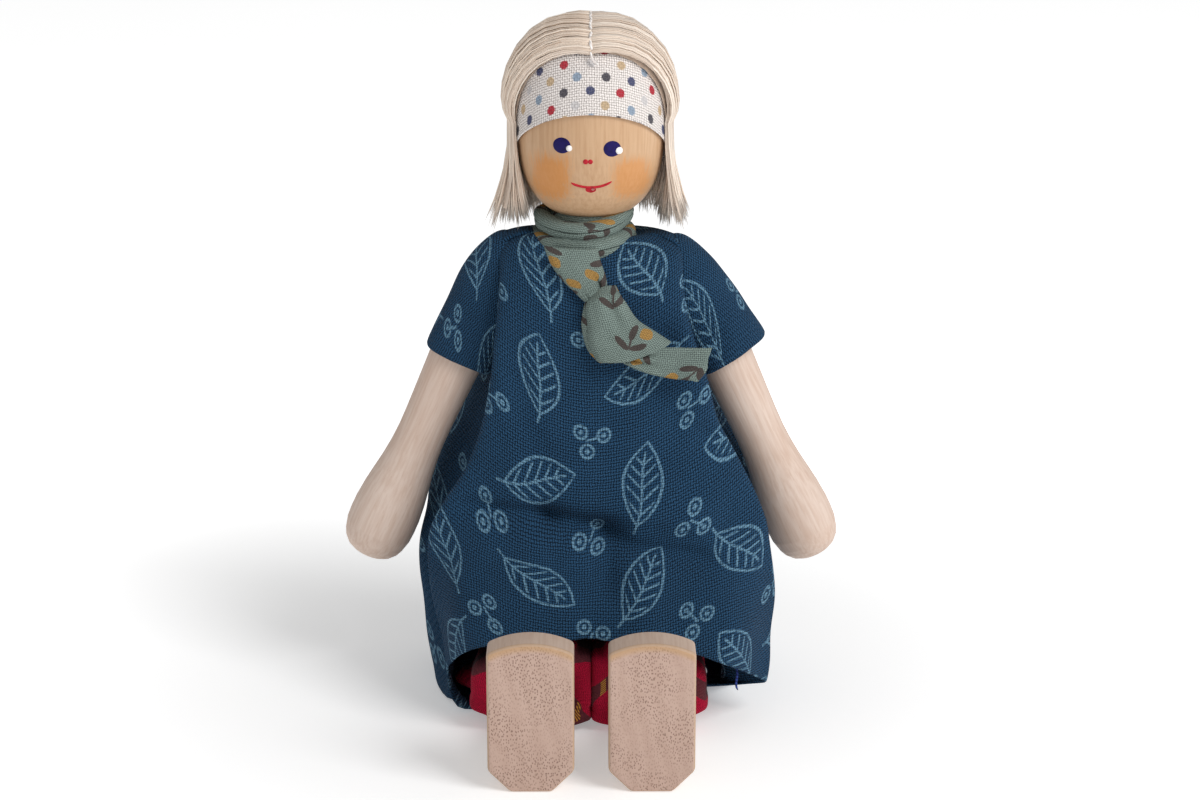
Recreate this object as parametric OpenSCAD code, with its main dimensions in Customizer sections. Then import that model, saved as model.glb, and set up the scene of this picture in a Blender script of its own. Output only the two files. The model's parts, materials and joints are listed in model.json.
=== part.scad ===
// Seated wooden doll: turned head, jointed arms and legs on elastic cords, dressed in cotton.
// The doll faces -Y and its own left side is +X. Z = 0 is the seat, and the origin lies under the hip axis.

/* [Head] */
// Width of the turned head
head_w = 24.6; // [22:0.2:27]
// Height of the turned head
head_h = 32; // [29:0.5:36]
// Squareness of the head's profile, where 2 is an ellipse
head_power = 2.5; // [2.2:0.1:3]
// Gap between the top of the torso and the head
neck_gap = 4.1; // [3.6:0.1:5]
// Diameter of the neck dowel
dowel_d = 6; // [4:0.5:8]
// Depth of the dowel in the torso
dowel_sink = 12; // [8:1:20]
// Depth of the dowel in the head
dowel_rise = 11; // [8:1:16]

/* [Torso] */
// Width of the torso block
torso_w = 24; // [20:0.5:26]
// Depth of the torso block from front to back
torso_d = 15; // [13:0.5:16]
// Corner radius of the torso block
torso_corner = 6; // [3:0.5:6]
// Bevel along the torso's shoulders
shoulder_bevel = 2.2; // [1.5:0.1:3]
// Distance from the hip axis to the shoulder axis
torso_len = 65; // [60:0.2:74]
// Height of the torso's top above the shoulder axis
shoulder_rise = 5.8; // [4:0.1:7]
// Width of the tongue between the legs
tongue_w = 8.6; // [6:0.2:10]
// Depth of the tongue from front to back
tongue_d = 12; // [9:0.5:14]

/* [Arms] */
// Distance from the shoulder axis to the end of the hand
arm_len = 54.5; // [50:0.5:62]
// Angle of the arm away from upright
arm_splay = 24.5; // [18:0.5:28]
// Radius of the arm's round top
arm_top_r = 4.4; // [4:0.1:5]
// Radius of the arm inside the sleeve, where it is thickest
upper_arm_r = 4.8; // [4.4:0.1:5.2]
// Radius of the arm at its thinnest
wrist_r = 4.2; // [3.4:0.1:4.8]
// Radius of the hand
hand_r = 5.9; // [5:0.1:6.4]

/* [Legs] */
// Distance from the hip axis to the sole
leg_len = 51; // [46:0.5:60]
// Radius of the leg's round top
leg_top_r = 5.1; // [4.6:0.1:5.4]
// Radius of the leg below its round top
thigh_r = 4.6; // [4:0.1:4.6]
// Radius of the leg at the ankle
ankle_r = 4.3; // [3.6:0.1:4.6]
// How far the heel reaches below the round top of the leg
heel_drop = 1.1; // [0.9:0.1:3]
// Width of the foot
foot_w = 13.5; // [11:0.5:15]
// Length of the foot from heel to toe
foot_h = 24.5; // [20:0.5:28]
// Thickness of the foot
foot_t = 6; // [5:0.5:9]
// Corner cut off each side of the heel
heel_cut = 3.5; // [1:0.1:4.5]
// Radius of the rounded toe
toe_r = 14.6; // [10:0.2:20]

/* [Cords and fits] */
// Diameter of the elastic cords
cord_d = 1.6; // [1:0.1:2]
// Radius of the knots at the ends of the cords
knot_r = 1.6; // [1.2:0.1:1.8]
// Running clearance round a cord or the neck dowel
run_gap = 0.07; // [0.02:0.01:0.1]
// Glue clearance round the neck dowel in the torso
glue_gap = 0.03; // [0.02:0.01:0.05]
// Gap between a limb and the wood beside it
limb_gap = 0.2; // [0.1:0.05:0.4]

/* [Cloth] */
// Thickness of the cloth solids
cloth = 0.5; // [0.3:0.1:0.7]
// Clearance between cloth and what it covers
cloth_gap = 0.4; // [0.3:0.05:0.6]

/* [Dress] */
// Width of the skirt at its widest
skirt_w = 58; // [52:1:66]
// Width of the hem where it meets the seat
hem_w = 55; // [48:1:60]
// Height of the widest part of the skirt
skirt_z = 21; // [16:1:26]
// Distance from the hip axis forward to the front hem
hem_front = 31; // [27:1:36]
// Height of the front hem over the legs
hem_front_z = 17.3; // [15:0.1:20]
// Height of the crease between the front and the lap
crease_z = 31; // [28:1:36]
// Distance from the hip axis back to the hem behind
hem_back = 16; // [14:0.5:20]
// Length of a sleeve from the shoulder axis
sleeve_len = 17.4; // [14:0.2:20]
// Half width of a sleeve at its hem
sleeve_r = 6.1; // [5.6:0.1:6.6]

/* [Bloomers] */
// Distance from the hip axis forward to the bloomers' hem
bloomer_len = 27; // [22:1:30]
// Half width of a bloomer leg
bloomer_r = 8.6; // [7.6:0.1:8.8]
// Height of a bloomer leg above the hip axis
bloomer_rise = 8.2; // [7:0.1:8.8]
// Height of the waist
waist_z = 27; // [24:1:32]
// Height of the waist elastic
elastic_h = 4; // [2:0.5:6]
// Thickness of the waist elastic
elastic_t = 0.8; // [0.5:0.1:1]

/* [Hair] */
// Greatest thickness of the hair on the head
hair_t = 2.1; // [1.6:0.1:2.8]
// Thickness of the hair where the headband draws it in
hair_side_t = 1.3; // [1.2:0.1:1.6]
// Outward flare of the hair at its ends
hair_flare = 3.2; // [1:0.1:4]
// Gap between the ends of the hair and the top of the torso
hair_gap = 4; // [3.6:0.1:8]
// Radius of the stitched parting thread
stitch_r = 0.4; // [0.2:0.05:0.5]

/* [Headband] */
// Width of the headband
band_w = 12.5; // [9:0.5:15]
// Thickness of the headband
band_t = 0.35; // [0.2:0.05:0.5]
// Tilt of the headband up towards the forehead
band_tilt = 33; // [20:1:38]
// Height of the headband's middle above the middle of the head
band_up = 2; // [-1:0.2:4]

/* [Scarf] */
// Radius of the upper turn round the neck
scarf_ring = 7.3; // [6.4:0.1:7.6]
// Half thickness of the rolled scarf
scarf_roll = 1.9; // [1.2:0.1:2]
// Distance from the top of the torso down to the knot
knot_drop = 7.6; // [6:0.2:10]
// Width of the scarf where it leaves the neck
drop_w = 9.2; // [7:0.2:11]
// Width of the scarf at the knot
knot_w = 4.6; // [3:0.2:6]
// Length of the flap below the knot
flap_len = 12; // [9:0.5:14]
// Width of the flap at its lower edge
flap_w = 13.4; // [9:0.2:14]
// Length of the scarf's loose end
tail_len = 15; // [10:0.5:15]
// Width of the scarf's loose end
tail_w = 5.8; // [4:0.2:7]
// Thickness of the folded scarf below the knot
fold_t = 1.6; // [1:0.1:2.2]

/* [Hidden] */
$fn = 64;
eps = 0.01;

// Heights of the joints and of the blocks that hang on them
hip_z = leg_top_r + heel_drop;
shoulder_z = hip_z + torso_len;
torso_top = shoulder_z + shoulder_rise;
torso_bottom = hip_z + bloomer_rise;
head_z = torso_top + neck_gap + head_h / 2;
shoulder_x = torso_w / 2 + arm_top_r - limb_gap / 2;
hip_x = tongue_w / 2 + leg_top_r;

// Sizes that follow from the fits
cord_bore = cord_d / 2 + run_gap;
recess_r = knot_r + 0.3;
recess_floor = 1;
floor_gap = 0.4;

function lerp(a, b, t) = a + (b - a) * t;
function clamp(t) = min(1, max(0, t));
function ease(t) = let (c = clamp(t)) c * c * (3 - 2 * c);
function spow(v, p) = sign(v) * pow(abs(v), p);
function unit(v) = v / norm(v);
function flat(rows) = [for (row = rows) each row];

// Smooth curve through a short table of [key, value] rows with rising keys
function span(rows, k, i = 0) = i >= len(rows) - 2 || k < rows[i + 1][0] ? i : span(rows, k, i + 1);
function slope(rows, i) =
    let (a = max(0, i - 1), b = min(len(rows) - 1, i + 1))
    (rows[b][1] - rows[a][1]) / (rows[b][0] - rows[a][0]);
function along(rows, k) =
    let (
        i = span(rows, k),
        h = rows[i + 1][0] - rows[i][0],
        t = clamp((k - rows[i][0]) / h),
        t2 = t * t,
        t3 = t2 * t
    )
    (2 * t3 - 3 * t2 + 1) * rows[i][1] + (t3 - 2 * t2 + t) * h * slope(rows, i)
    + (3 * t2 - 2 * t3) * rows[i + 1][1] + (t3 - t2) * h * slope(rows, i + 1);

// Triangles over a grid of points with the given first index
function grid_faces(rows, cols, first, turned) = [
    for (i = [0:rows - 2], j = [0:cols - 2])
        let (a = first + i * cols + j, b = a + 1, c = a + cols, d = c + 1)
        each turned ? [[a, b, c], [b, d, c]] : [[a, c, b], [b, c, d]]
];
// Triangles that join an edge of the outer grid to the same edge of the inner one
function rim_faces(edge, shift, turned) = [
    for (k = [0:len(edge) - 2])
        let (a = edge[k], b = edge[k + 1], c = a + shift, d = b + shift)
        each turned ? [[a, b, c], [b, d, c]] : [[a, c, b], [b, c, d]]
];

// A sheet with thickness, from a grid of outer points and the matching grid of inner points
module sheet(outer, inner) {
    rows = len(outer);
    cols = len(outer[0]);
    shift = rows * cols;
    top = [for (j = [0:cols - 1]) j];
    bottom = [for (j = [0:cols - 1]) (rows - 1) * cols + j];
    first = [for (i = [0:rows - 1]) i * cols];
    last = [for (i = [0:rows - 1]) i * cols + cols - 1];
    polyhedron(
        concat(flat(outer), flat(inner)),
        concat(
            grid_faces(rows, cols, 0, false), grid_faces(rows, cols, shift, true),
            rim_faces(top, shift, true), rim_faces(bottom, shift, false),
            rim_faces(first, shift, false), rim_faces(last, shift, true)
        ),
        convexity = 8
    );
}

// A tube of cloth: a sheet whose columns go all the way round
module sleeve_tube(outer, inner) {
    rows = len(outer);
    cols = len(outer[0]);
    shift = rows * cols;
    ring = [for (i = [0:rows - 1], j = [0:cols - 1]) [i * cols + j, i * cols + (j + 1) % cols]];
    walls = [
        for (i = [0:rows - 2], j = [0:cols - 1])
            let (p = ring[i * cols + j], q = ring[(i + 1) * cols + j])
            each [[p[0], q[0], p[1]], [p[1], q[0], q[1]]]
    ];
    linings = [for (f = walls) [f[0] + shift, f[2] + shift, f[1] + shift]];
    ends = [
        for (j = [0:cols - 1])
            let (p = ring[j], q = ring[(rows - 1) * cols + j])
            each [
                [p[0], p[1], p[0] + shift], [p[1], p[1] + shift, p[0] + shift],
                [q[0], q[0] + shift, q[1]], [q[1], q[0] + shift, q[1] + shift],
            ]
    ];
    polyhedron(concat(flat(outer), flat(inner)), concat(walls, linings, ends), convexity = 8);
}

module rounded_rect(w, d, r) {
    square([w - 2 * r, d], center = true);
    square([w, d - 2 * r], center = true);
    for (x = [-1, 1], y = [-1, 1])
        translate([x * (w / 2 - r), y * (d / 2 - r)]) circle(r);
}

// A shape for the doll's left side, or its mirror image for the right
module on_side(side) {
    if (side > 0) children();
    else mirror([1, 0, 0]) children();
}

// Wooden pieces

// Half outline of the head, grown by an offset: a superellipse
function head_outline(grow) = [
    for (t = [-90:5:90])
        [
            max(0, (head_w / 2 + grow) * spow(cos(t), 2 / head_power)),
            (head_h / 2 + grow) * spow(sin(t), 2 / head_power),
        ]
];

module head_form(grow) {
    translate([0, 0, head_z]) rotate_extrude($fn = 96) polygon(head_outline(grow));
}

module head() {
    bottom = torso_top + neck_gap;
    color("burlywood") difference() {
        head_form(0);
        translate([0, 0, bottom - eps])
            cylinder(d = dowel_d + 2 * run_gap, h = dowel_rise + limb_gap + eps);
    }
}

module neck_dowel() {
    color("tan") difference() {
        translate([0, 0, torso_top - dowel_sink])
            cylinder(d = dowel_d, h = dowel_sink + neck_gap + dowel_rise);
        cross_bore(shoulder_z, cord_bore, dowel_d);
    }
}

// A bore along X for a cord
module cross_bore(z, r, reach) {
    translate([0, 0, z]) rotate([0, 90, 0]) cylinder(r = r, h = 2 * reach, center = true);
}

module torso() {
    color("wheat") difference() {
        union() {
            translate([0, 0, torso_bottom]) linear_extrude(torso_top - torso_bottom)
                rounded_rect(torso_w, torso_d, torso_corner);
            translate([0, 0, floor_gap + cloth]) linear_extrude(torso_bottom - cloth)
                rounded_rect(tongue_w, tongue_d, 1.5);
        }
        for (x = [-1, 1]) translate([x * torso_w / 2, 0, torso_top]) rotate([0, 45, 0])
            cube([shoulder_bevel * sqrt(2), torso_w, shoulder_bevel * sqrt(2)], center = true);
        translate([0, 0, torso_top - dowel_sink])
            cylinder(d = dowel_d + 2 * glue_gap, h = dowel_sink + 1);
        cross_bore(shoulder_z, cord_bore, torso_w);
        cross_bore(hip_z, cord_bore, tongue_w);
    }
}

// A cord along X with a knot at each end, seated in the recess of the limb
module elastic(z, axis_x) {
    knot_x = axis_x + recess_floor + knot_r + limb_gap / 2;
    color("white") translate([0, 0, z]) {
        rotate([0, 90, 0]) cylinder(d = cord_d, h = 2 * knot_x, center = true);
        for (x = [-1, 1]) translate([x * knot_x, 0, 0]) sphere(knot_r);
    }
}

// The bore for the cord and the recess for its knot, on the outer side of a limb
module cord_holes(axis_x, z) {
    translate([0, 0, z]) rotate([0, 90, 0]) {
        cylinder(r = cord_bore, h = 2 * axis_x);
        translate([0, 0, axis_x + recess_floor]) cylinder(r = recess_r, h = axis_x);
    }
}

// Radius of the arm at a distance from the shoulder axis
palm_s = arm_len - 8;
wrist_s = arm_len - 24;
function arm_r(s) = along([
    [0, arm_top_r], [11, upper_arm_r], [wrist_s - 12, lerp(wrist_r, upper_arm_r, 0.55)],
    [wrist_s, wrist_r], [wrist_s + 5.5, lerp(wrist_r, hand_r, 0.25)],
    [palm_s - 4.5, lerp(wrist_r, hand_r, 0.8)], [palm_s, hand_r],
    [palm_s + 4, hand_r * 0.93], [arm_len - 1.2, hand_r * 0.62], [arm_len, 0],
], s);
// Distances down an arm of steps_len, which stretch with the arm
steps_len = 55.5;
arm_steps = [0, 4, 8, 12, 16, 20, 24, 28, 31, 34, 37, 40, 43, 46, 48, 50, 52, 53, 54, 54.6, 55.1];
function arm_outline() = concat(
    [for (t = [-90:10:-10]) arm_top_r * [cos(t), sin(t)]],
    [for (s = arm_steps) let (k = s * arm_len / steps_len) [arm_r(k), k]],
    [[0, arm_len]]
);

module arm(side) {
    color("bisque") on_side(side) difference() {
        translate([shoulder_x, 0, shoulder_z]) rotate([0, 180 - arm_splay, 0])
            rotate_extrude() polygon([for (p = arm_outline()) [max(0, p[0]), p[1]]]);
        cord_holes(shoulder_x, shoulder_z);
        translate([torso_w / 2 + limb_gap - 20, -10, shoulder_z - 10]) cube([20, 20, 20]);
    }
}

// Foot block: cut corners at the heel and an arc over the toe
module foot() {
    half = foot_w / 2;
    translate([0, foot_t - leg_len, 0]) rotate([90, 0, 0]) intersection() {
        linear_extrude(foot_t) polygon([
            [half, heel_cut], [half - heel_cut, 0], [heel_cut - half, 0], [-half, heel_cut],
            [-half, foot_h], [half, foot_h],
        ]);
        union() {
            translate([0, foot_h - toe_r, 0]) cylinder(r = toe_r, h = foot_t);
            translate([-half - 1, 0, 0]) cube([foot_w + 2, foot_h - toe_r, foot_t]);
        }
    }
}

module leg(side) {
    ankle = leg_len - foot_t / 2;
    shaft = concat(
        [for (t = [-90:12:18]) leg_top_r * [cos(t), sin(t)]],
        [[thigh_r, 6], [ankle_r, leg_len - foot_t - 6], [ankle_r, ankle], [0, ankle]]
    );
    color("bisque") on_side(side) difference() {
        translate([hip_x, 0, 0]) union() {
            translate([0, 0, hip_z]) rotate([90, 0, 0]) rotate([0, 0, 37])
                rotate_extrude() polygon([for (p = shaft) [max(0, p[0]), p[1]]]);
            foot();
        }
        cord_holes(hip_x, hip_z);
        translate([tongue_w / 2 + limb_gap - 10, -8, hip_z - 8]) cube([10, 16, 16]);
    }
}

// Hair, parting and headband

// Distance from the middle of the head to its surface along a direction
function head_reach(d) =
    let (across = norm([d[0], d[1]]) / (head_w / 2), up = abs(d[2]) / (head_h / 2))
    1 / pow(pow(across, head_power) + pow(up, head_power), 1 / head_power);

parting_front = -40;
parting_back = 62;
hair_front = 66;
hair_lift = 0.35;
hair_rows = 16;
hair_cols = 15;
hair_end = torso_top + hair_gap;

// Direction from the middle of the head: u runs from the parting to the side, v from front to back
function hair_way(u, v) =
    let (
        p = lerp(parting_front, parting_back, v),
        f = lerp(hair_front, 180, v),
        start = [0, sin(p), cos(p)],
        side = [sin(f), -cos(f), 0.02]
    )
    unit(lerp(start, side, u));
// Thickness of the hair over the head, and how it stands out below
function hair_over(u) = along([[0, hair_t - 0.5], [0.2, hair_t], [0.6, hair_t], [1, hair_side_t]], u);
function hair_on_head(u, v, grow) = [0, 0, head_z] + hair_way(u, v) * (head_reach(hair_way(u, v)) + grow);
function hair_hanging(t, v, grow) =
    let (
        top = hair_on_head(1, v, grow),
        out = unit([top[0], top[1]]),
        push = hair_flare * t * t
    )
    [top[0] + out[0] * push, top[1] + out[1] * push, lerp(top[2], hair_end, t)];
function hair_point(i, j, outer) =
    let (
        u = i / (hair_rows / 2),
        v = j / (hair_cols - 1),
        grow = outer ? hair_over(min(1, u)) : band_t + hair_lift + run_gap
    )
    u <= 1 ? hair_on_head(u, v, grow) : hair_hanging(u - 1, v, grow);
// Halves keep clear of the parting thread
function off_parting(p) = [max(p[0], stitch_r * 0.8), p[1], p[2]];
function hair_grid(outer) = [
    for (i = [0:hair_rows]) [for (j = [0:hair_cols - 1]) off_parting(hair_point(i, j, outer))]
];

module hair(side) {
    color("antiquewhite") on_side(side) sheet(hair_grid(true), hair_grid(false));
}

// A solid cord through a list of rings
module cord(rings) {
    cols = len(rings[0]);
    last = (len(rings) - 1) * cols;
    walls = [
        for (i = [0:len(rings) - 2], j = [0:cols - 1])
            let (a = i * cols + j, b = i * cols + (j + 1) % cols)
            each [[a, a + cols, b], [b, a + cols, b + cols]]
    ];
    caps = [for (j = [1:cols - 2]) each [[0, j, j + 1], [last, last + j + 1, last + j]]];
    polyhedron(flat(rings), concat(walls, caps));
}

// The thread that sews the two halves of the hair together along the parting
stitch_sides = 8;
module parting_stitch() {
    color("white") cord([
        for (p = [parting_front + 2:6:parting_back - 2])
            let (
                d = [0, sin(p), cos(p)],
                mid = [0, 0, head_z] + d * (head_reach(d) + hair_over(0) + stitch_r)
            )
            [for (k = [0:stitch_sides - 1])
                let (t = k * 360 / stitch_sides) mid + stitch_r * (cos(t) * [1, 0, 0] + sin(t) * d)]
    ]);
}

module headband() {
    color("ivory") intersection() {
        difference() {
            head_form(band_t + run_gap);
            head_form(run_gap);
        }
        translate([0, 0, head_z + band_up]) rotate([-band_tilt, 0, 0])
            cylinder(r = head_h, h = band_w, center = true);
    }
}

// Scarf

scarf_z = torso_top + cloth + 2 * cloth_gap + scarf_roll;
module scarf_wrap() {
    color("darkseagreen") translate([0, 0, scarf_z]) rotate_extrude()
        translate([scarf_ring, 0]) circle(scarf_roll);
}

// A patch of folded scarf: corners are [x, y, z], top left, top right, bottom left, bottom right
function patch_point(c, u, v) = lerp(lerp(c[0], c[1], u), lerp(c[2], c[3], u), v);
module patch(c, thick, steps = 6) {
    front = [for (i = [0:steps]) [for (j = [0:steps])
        patch_point(c, j / steps, i / steps) - [0, thick * (0.6 + 0.4 * sin(180 * j / steps)), 0]]];
    back = [for (i = [0:steps]) [for (j = [0:steps]) patch_point(c, j / steps, i / steps)]];
    sheet(front, back);
}

// Depth of the scarf's loose parts in front of the dress
chest_front = torso_d / 2 + cloth_gap + cloth + 1.2;
chest_y = -(chest_front + 4.7);
wrap_y = -(chest_front + cloth_gap + 0.4);
knot_y = chest_y + 1.6;
knot_z = torso_top - knot_drop;
drop_x = -knot_w / 4;

module scarf_drop() {
    top = torso_top + cloth + cloth_gap;
    color("darkseagreen") patch([
        [drop_x * 5.5, wrap_y, top], [drop_x * 5.5 + drop_w, wrap_y, top - 1.2],
        [drop_x, knot_y, knot_z], [drop_x + knot_w * 0.8, knot_y, knot_z + 0.6],
    ], fold_t);
}

module scarf_knot() {
    color("darkseagreen") patch([
        [drop_x, knot_y, knot_z - cloth_gap], [drop_x + knot_w * 1.3, knot_y, knot_z - cloth_gap],
        [drop_x, chest_y, knot_z - flap_len], [drop_x + flap_w, chest_y, knot_z - flap_len * 0.72],
    ], fold_t + 0.4);
}

module scarf_tail() {
    end_y = chest_y - 1.6;
    top = knot_z - flap_len + 0.8;
    start = drop_x + flap_w * 0.42;
    color("darkseagreen") patch([
        [start, chest_y + 0.3, top], [start + tail_len, end_y, top + 1.2],
        [start, chest_y + 0.3, top - tail_w * 0.28], [start + tail_len * 0.9, end_y, top + 1.4 - tail_w],
    ], cloth);
}

// Dress

bodice_half = torso_w / 2 + cloth_gap + cloth + 0.1;
bodice_top = torso_top + cloth_gap + cloth;
skirt_half = skirt_w / 2;
neck_half = 7;
pit_z = shoulder_z - 9;
chest_back = torso_d / 2 + cloth_gap + cloth + 1.2;

// Lines of the dress as rows of [height, place]: the front panel's two edges, then its depths
left_edge = [
    [floor_gap, skirt_half - 0.8], [skirt_z - 10, skirt_half + 0.8], [skirt_z, skirt_half + 1.6],
    [crease_z, skirt_half + 0.4], [crease_z + 6, skirt_half - 1.8], [crease_z + 12, skirt_half - 5],
    [crease_z + 18, skirt_half - 8.1], [pit_z - 6, bodice_half + 6], [pit_z + 2, bodice_half + 3.4],
    [shoulder_z, bodice_half + 2.1], [bodice_top, bodice_half + 2],
];
right_edge = [
    [floor_gap, skirt_half - 6], [skirt_z - 12, skirt_half - 5], [skirt_z - 4, skirt_half - 3],
    [crease_z - 7, skirt_half - 2.2], [crease_z, skirt_half - 2.4], [crease_z + 5, skirt_half - 5.1],
    [crease_z + 9, skirt_half - 8], [crease_z + 17, skirt_half - 11], [pit_z - 6, bodice_half + 3.4],
    [pit_z + 4, bodice_half + 2.4], [shoulder_z, bodice_half + 2], [bodice_top, bodice_half + 2],
];
edge_depth = [
    [floor_gap, hem_front - 12], [skirt_z - 13, hem_front - 11], [skirt_z - 4, hem_front - 13.5],
    [crease_z - 8, hem_front - 15.5], [crease_z, chest_front + 4.6], [crease_z + 9, chest_front + 3.4],
    [pit_z - 12, chest_front + 2.2], [pit_z - 2, chest_front + 0.8], [shoulder_z - 3, chest_front - 0.4],
    [shoulder_z + 2, chest_front - 2], [torso_top - 0.5, chest_front - 4.6],
    [bodice_top, chest_front - 6.4],
];
front_depth = [
    [hem_front_z - 1.3, hem_front + 0.2], [hem_front_z + 1.7, hem_front - 1],
    [crease_z - 8, hem_front - 3.6], [crease_z - 4, hem_front - 7.4], [crease_z - 1, chest_front + 11],
    [crease_z + 2, chest_front + 9], [crease_z + 9, chest_front + 6.8], [pit_z - 10, chest_front + 4.4],
    [pit_z + 3, chest_front + 2.6], [shoulder_z + 2, chest_front + 0.9],
    [torso_top - 0.5, chest_front - 0.4], [bodice_top, chest_front - 1.4],
];
// The fold behind the front panel's edge, the side of the back panel and its depth
fold_x = [
    [floor_gap, skirt_half - 7], [skirt_z, skirt_half - 6], [crease_z, skirt_half - 7.5],
    [crease_z + 9, skirt_half - 11], [pit_z - 6, bodice_half + 1], [pit_z + 2, bodice_half + 0.5],
    [bodice_top, bodice_half + 0.5],
];
fold_depth = [[floor_gap, 11], [skirt_z, 7], [crease_z + 9, 5], [pit_z - 2, 4.5], [bodice_top, 3.6]];
side_x = [
    [floor_gap, hem_w / 2], [skirt_z - 11, skirt_half - 0.2], [skirt_z, skirt_half + 0.3],
    [crease_z, skirt_half - 0.5], [crease_z + 5, skirt_half - 1.7], [crease_z + 9, skirt_half - 3.5],
    [crease_z + 13, skirt_half - 5.6], [crease_z + 17, skirt_half - 7.5], [pit_z - 10, bodice_half + 6.5],
    [pit_z - 6, bodice_half + 3.4], [pit_z - 2, bodice_half + 1.4], [pit_z + 2, bodice_half + 0.3],
    [bodice_top, bodice_half + 0.3],
];
side_back = [
    [floor_gap, 0], [skirt_z + 4, 1], [crease_z + 2, 5], [crease_z + 9, 6.2], [pit_z - 6, 6.2],
    [shoulder_z - 5, 3], [bodice_top, 1],
];
back_depth = [
    [floor_gap, hem_back], [skirt_z, hem_back - 2.4], [crease_z + 19, chest_back + 1.2],
    [shoulder_z, chest_back + 0.3], [torso_top - 0.5, chest_back], [bodice_top, chest_back - 0.7],
];

// Inner side of the space that an arm and its sleeve sweep, at a distance from the shoulder axis
hem_room = 3;
sleeve_reach = sleeve_len * cos(arm_splay) + (sleeve_r + 0.2) * sin(arm_splay) + hem_room;
function arm_thick(r) =
    r < sleeve_reach ? sleeve_r + 0.2
    : max([for (drop = [0, hand_r * sin(arm_splay)]) arm_r(min(arm_len, (r - drop) / cos(arm_splay)))]);
function arm_clear(r) =
    r > arm_len * cos(arm_splay) + 1 ? skirt_w
    : max(bodice_half, shoulder_x + r * tan(arm_splay) - arm_thick(r) / cos(arm_splay) - cloth_gap);

// One half of the dress at a height, as rows of [share of the way round, x, y]
ring_keys = [0, 0.07, 0.12, 0.152, 0.168, 0.21, 0.262, 0.37, 0.5];
seam_key = ring_keys[5];
function half_ring(z, side) =
    let (
        edge = along(side > 0 ? left_edge : right_edge, z),
        front = -along(front_depth, z),
        edge_y = -along(edge_depth, z),
        wide = along(side_x, z),
        back = along(back_depth, z),
        boxy = lerp(0.36, 0.16, ease((crease_z + 1 - z) / 14)),
        near = [edge * 0.42, lerp(front, edge_y, boxy * 0.25)],
        corner = [wide * 0.8, back * 0.88],
        line = [
            [0, front], near, [edge * 0.76, lerp(front, edge_y, boxy)], [edge * 0.97, edge_y - 0.5],
            [edge, edge_y + 1.2], [along(fold_x, z), -along(fold_depth, z)], [wide, along(side_back, z)],
            corner, [0, back],
        ]
    )
    concat(
        [[-ring_keys[1], -near[0], near[1]]],
        [for (k = [0:len(line) - 1]) [ring_keys[k], line[k][0], line[k][1]]],
        [[1 - ring_keys[7], -corner[0], corner[1]]]
    );
function ring_point(z, t, side) =
    let (
        rows = half_ring(z, side),
        x = along([for (r = rows) [r[0], r[1]]], t),
        y = along([for (r = rows) [r[0], r[2]]], t)
    )
    [min(x, arm_clear(norm([y, z - shoulder_z]))), y];
function ring_normal(z, t, side) =
    let (
        step = 0.004,
        way = ring_point(z, min(0.5, t + step), side) - ring_point(z, max(0, t - step), side)
    )
    t == 0 ? [0, -1] : t == 0.5 ? [0, 1] : unit([way[1], -way[0]]);

// Height of the hem: raised over the legs, low at the sides and behind
left_hem = [
    hem_front_z, hem_front_z - 1, hem_front_z - 5.1, hem_front_z - 10.7, hem_front_z - 11.9, floor_gap + 3,
    floor_gap + 1.2, floor_gap + 0.1, floor_gap,
];
right_hem = [
    hem_front_z, hem_front_z - 0.3, hem_front_z - 1.7, hem_front_z - 6.9, hem_front_z - 8.3, floor_gap + 4.2,
    floor_gap + 1.2, floor_gap + 0.1, floor_gap,
];
function hem_z(t, side) =
    let (hem = side > 0 ? left_hem : right_hem)
    along([for (k = [0:len(hem) - 1]) [ring_keys[k], hem[k]]], t);

// Creases where the front turns over the lap: two ends as [x, height], depth and width
creases = [
    [[-20, crease_z + 4.4], [-7, crease_z + 2.8], 2.2, 1.8],
    [[-7, crease_z + 2.8], [3, crease_z + 0.4], 3.2, 2.4],
    [[2.4, crease_z], [2.4, crease_z - 6], 2.4, 2.4],
    [[6, crease_z - 1.4], [19, crease_z - 3.4], 2, 1.8],
    [[-10, crease_z - 3], [-10, crease_z - 11], -1.3, 4.5],
    [[10, crease_z - 5], [10, crease_z - 12], -1.3, 4.5],
    [[8, crease_z + 4], [17, crease_z + 2.5], -1.4, 2.6],
];
function line_gap(p, a, b) = norm(p - lerp(a, b, clamp((p - a) * (b - a) / ((b - a) * (b - a)))));
function sum(v, i = 0) = i >= len(v) ? 0 : v[i] + sum(v, i + 1);
function pressed(p) = sum([for (c = creases) c[2] * exp(-pow(line_gap(p, c[0], c[1]) / c[3], 2))]);

// A point of the dress: row i from the neck to the hem, t round from the front, inset into the cloth
shoulder_rows = 4;
dress_rows = 22;
function dress_point(i, t, side, inset) =
    let (
        arc = 90 * clamp(i / shoulder_rows),
        a = 360 * t,
        d = clamp((i - shoulder_rows) / (dress_rows - shoulder_rows)),
        fall = lerp(0.4, 1.6, pow(cos(a), 2)),
        z = lerp(bodice_top - fall * (1 - cos(arc)), hem_z(t, side), d),
        k = sin(arc),
        p = lerp([neck_half * sin(a), (1 - neck_half) * cos(a)], ring_point(z, t, side), k)
            - inset * k * ring_normal(z, t, side),
        push = pressed([side * p[0], z]) * ease(cos(a) * 3) * k
    )
    [side * p[0], p[1] + push, z - inset * (1 - k)];

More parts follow.
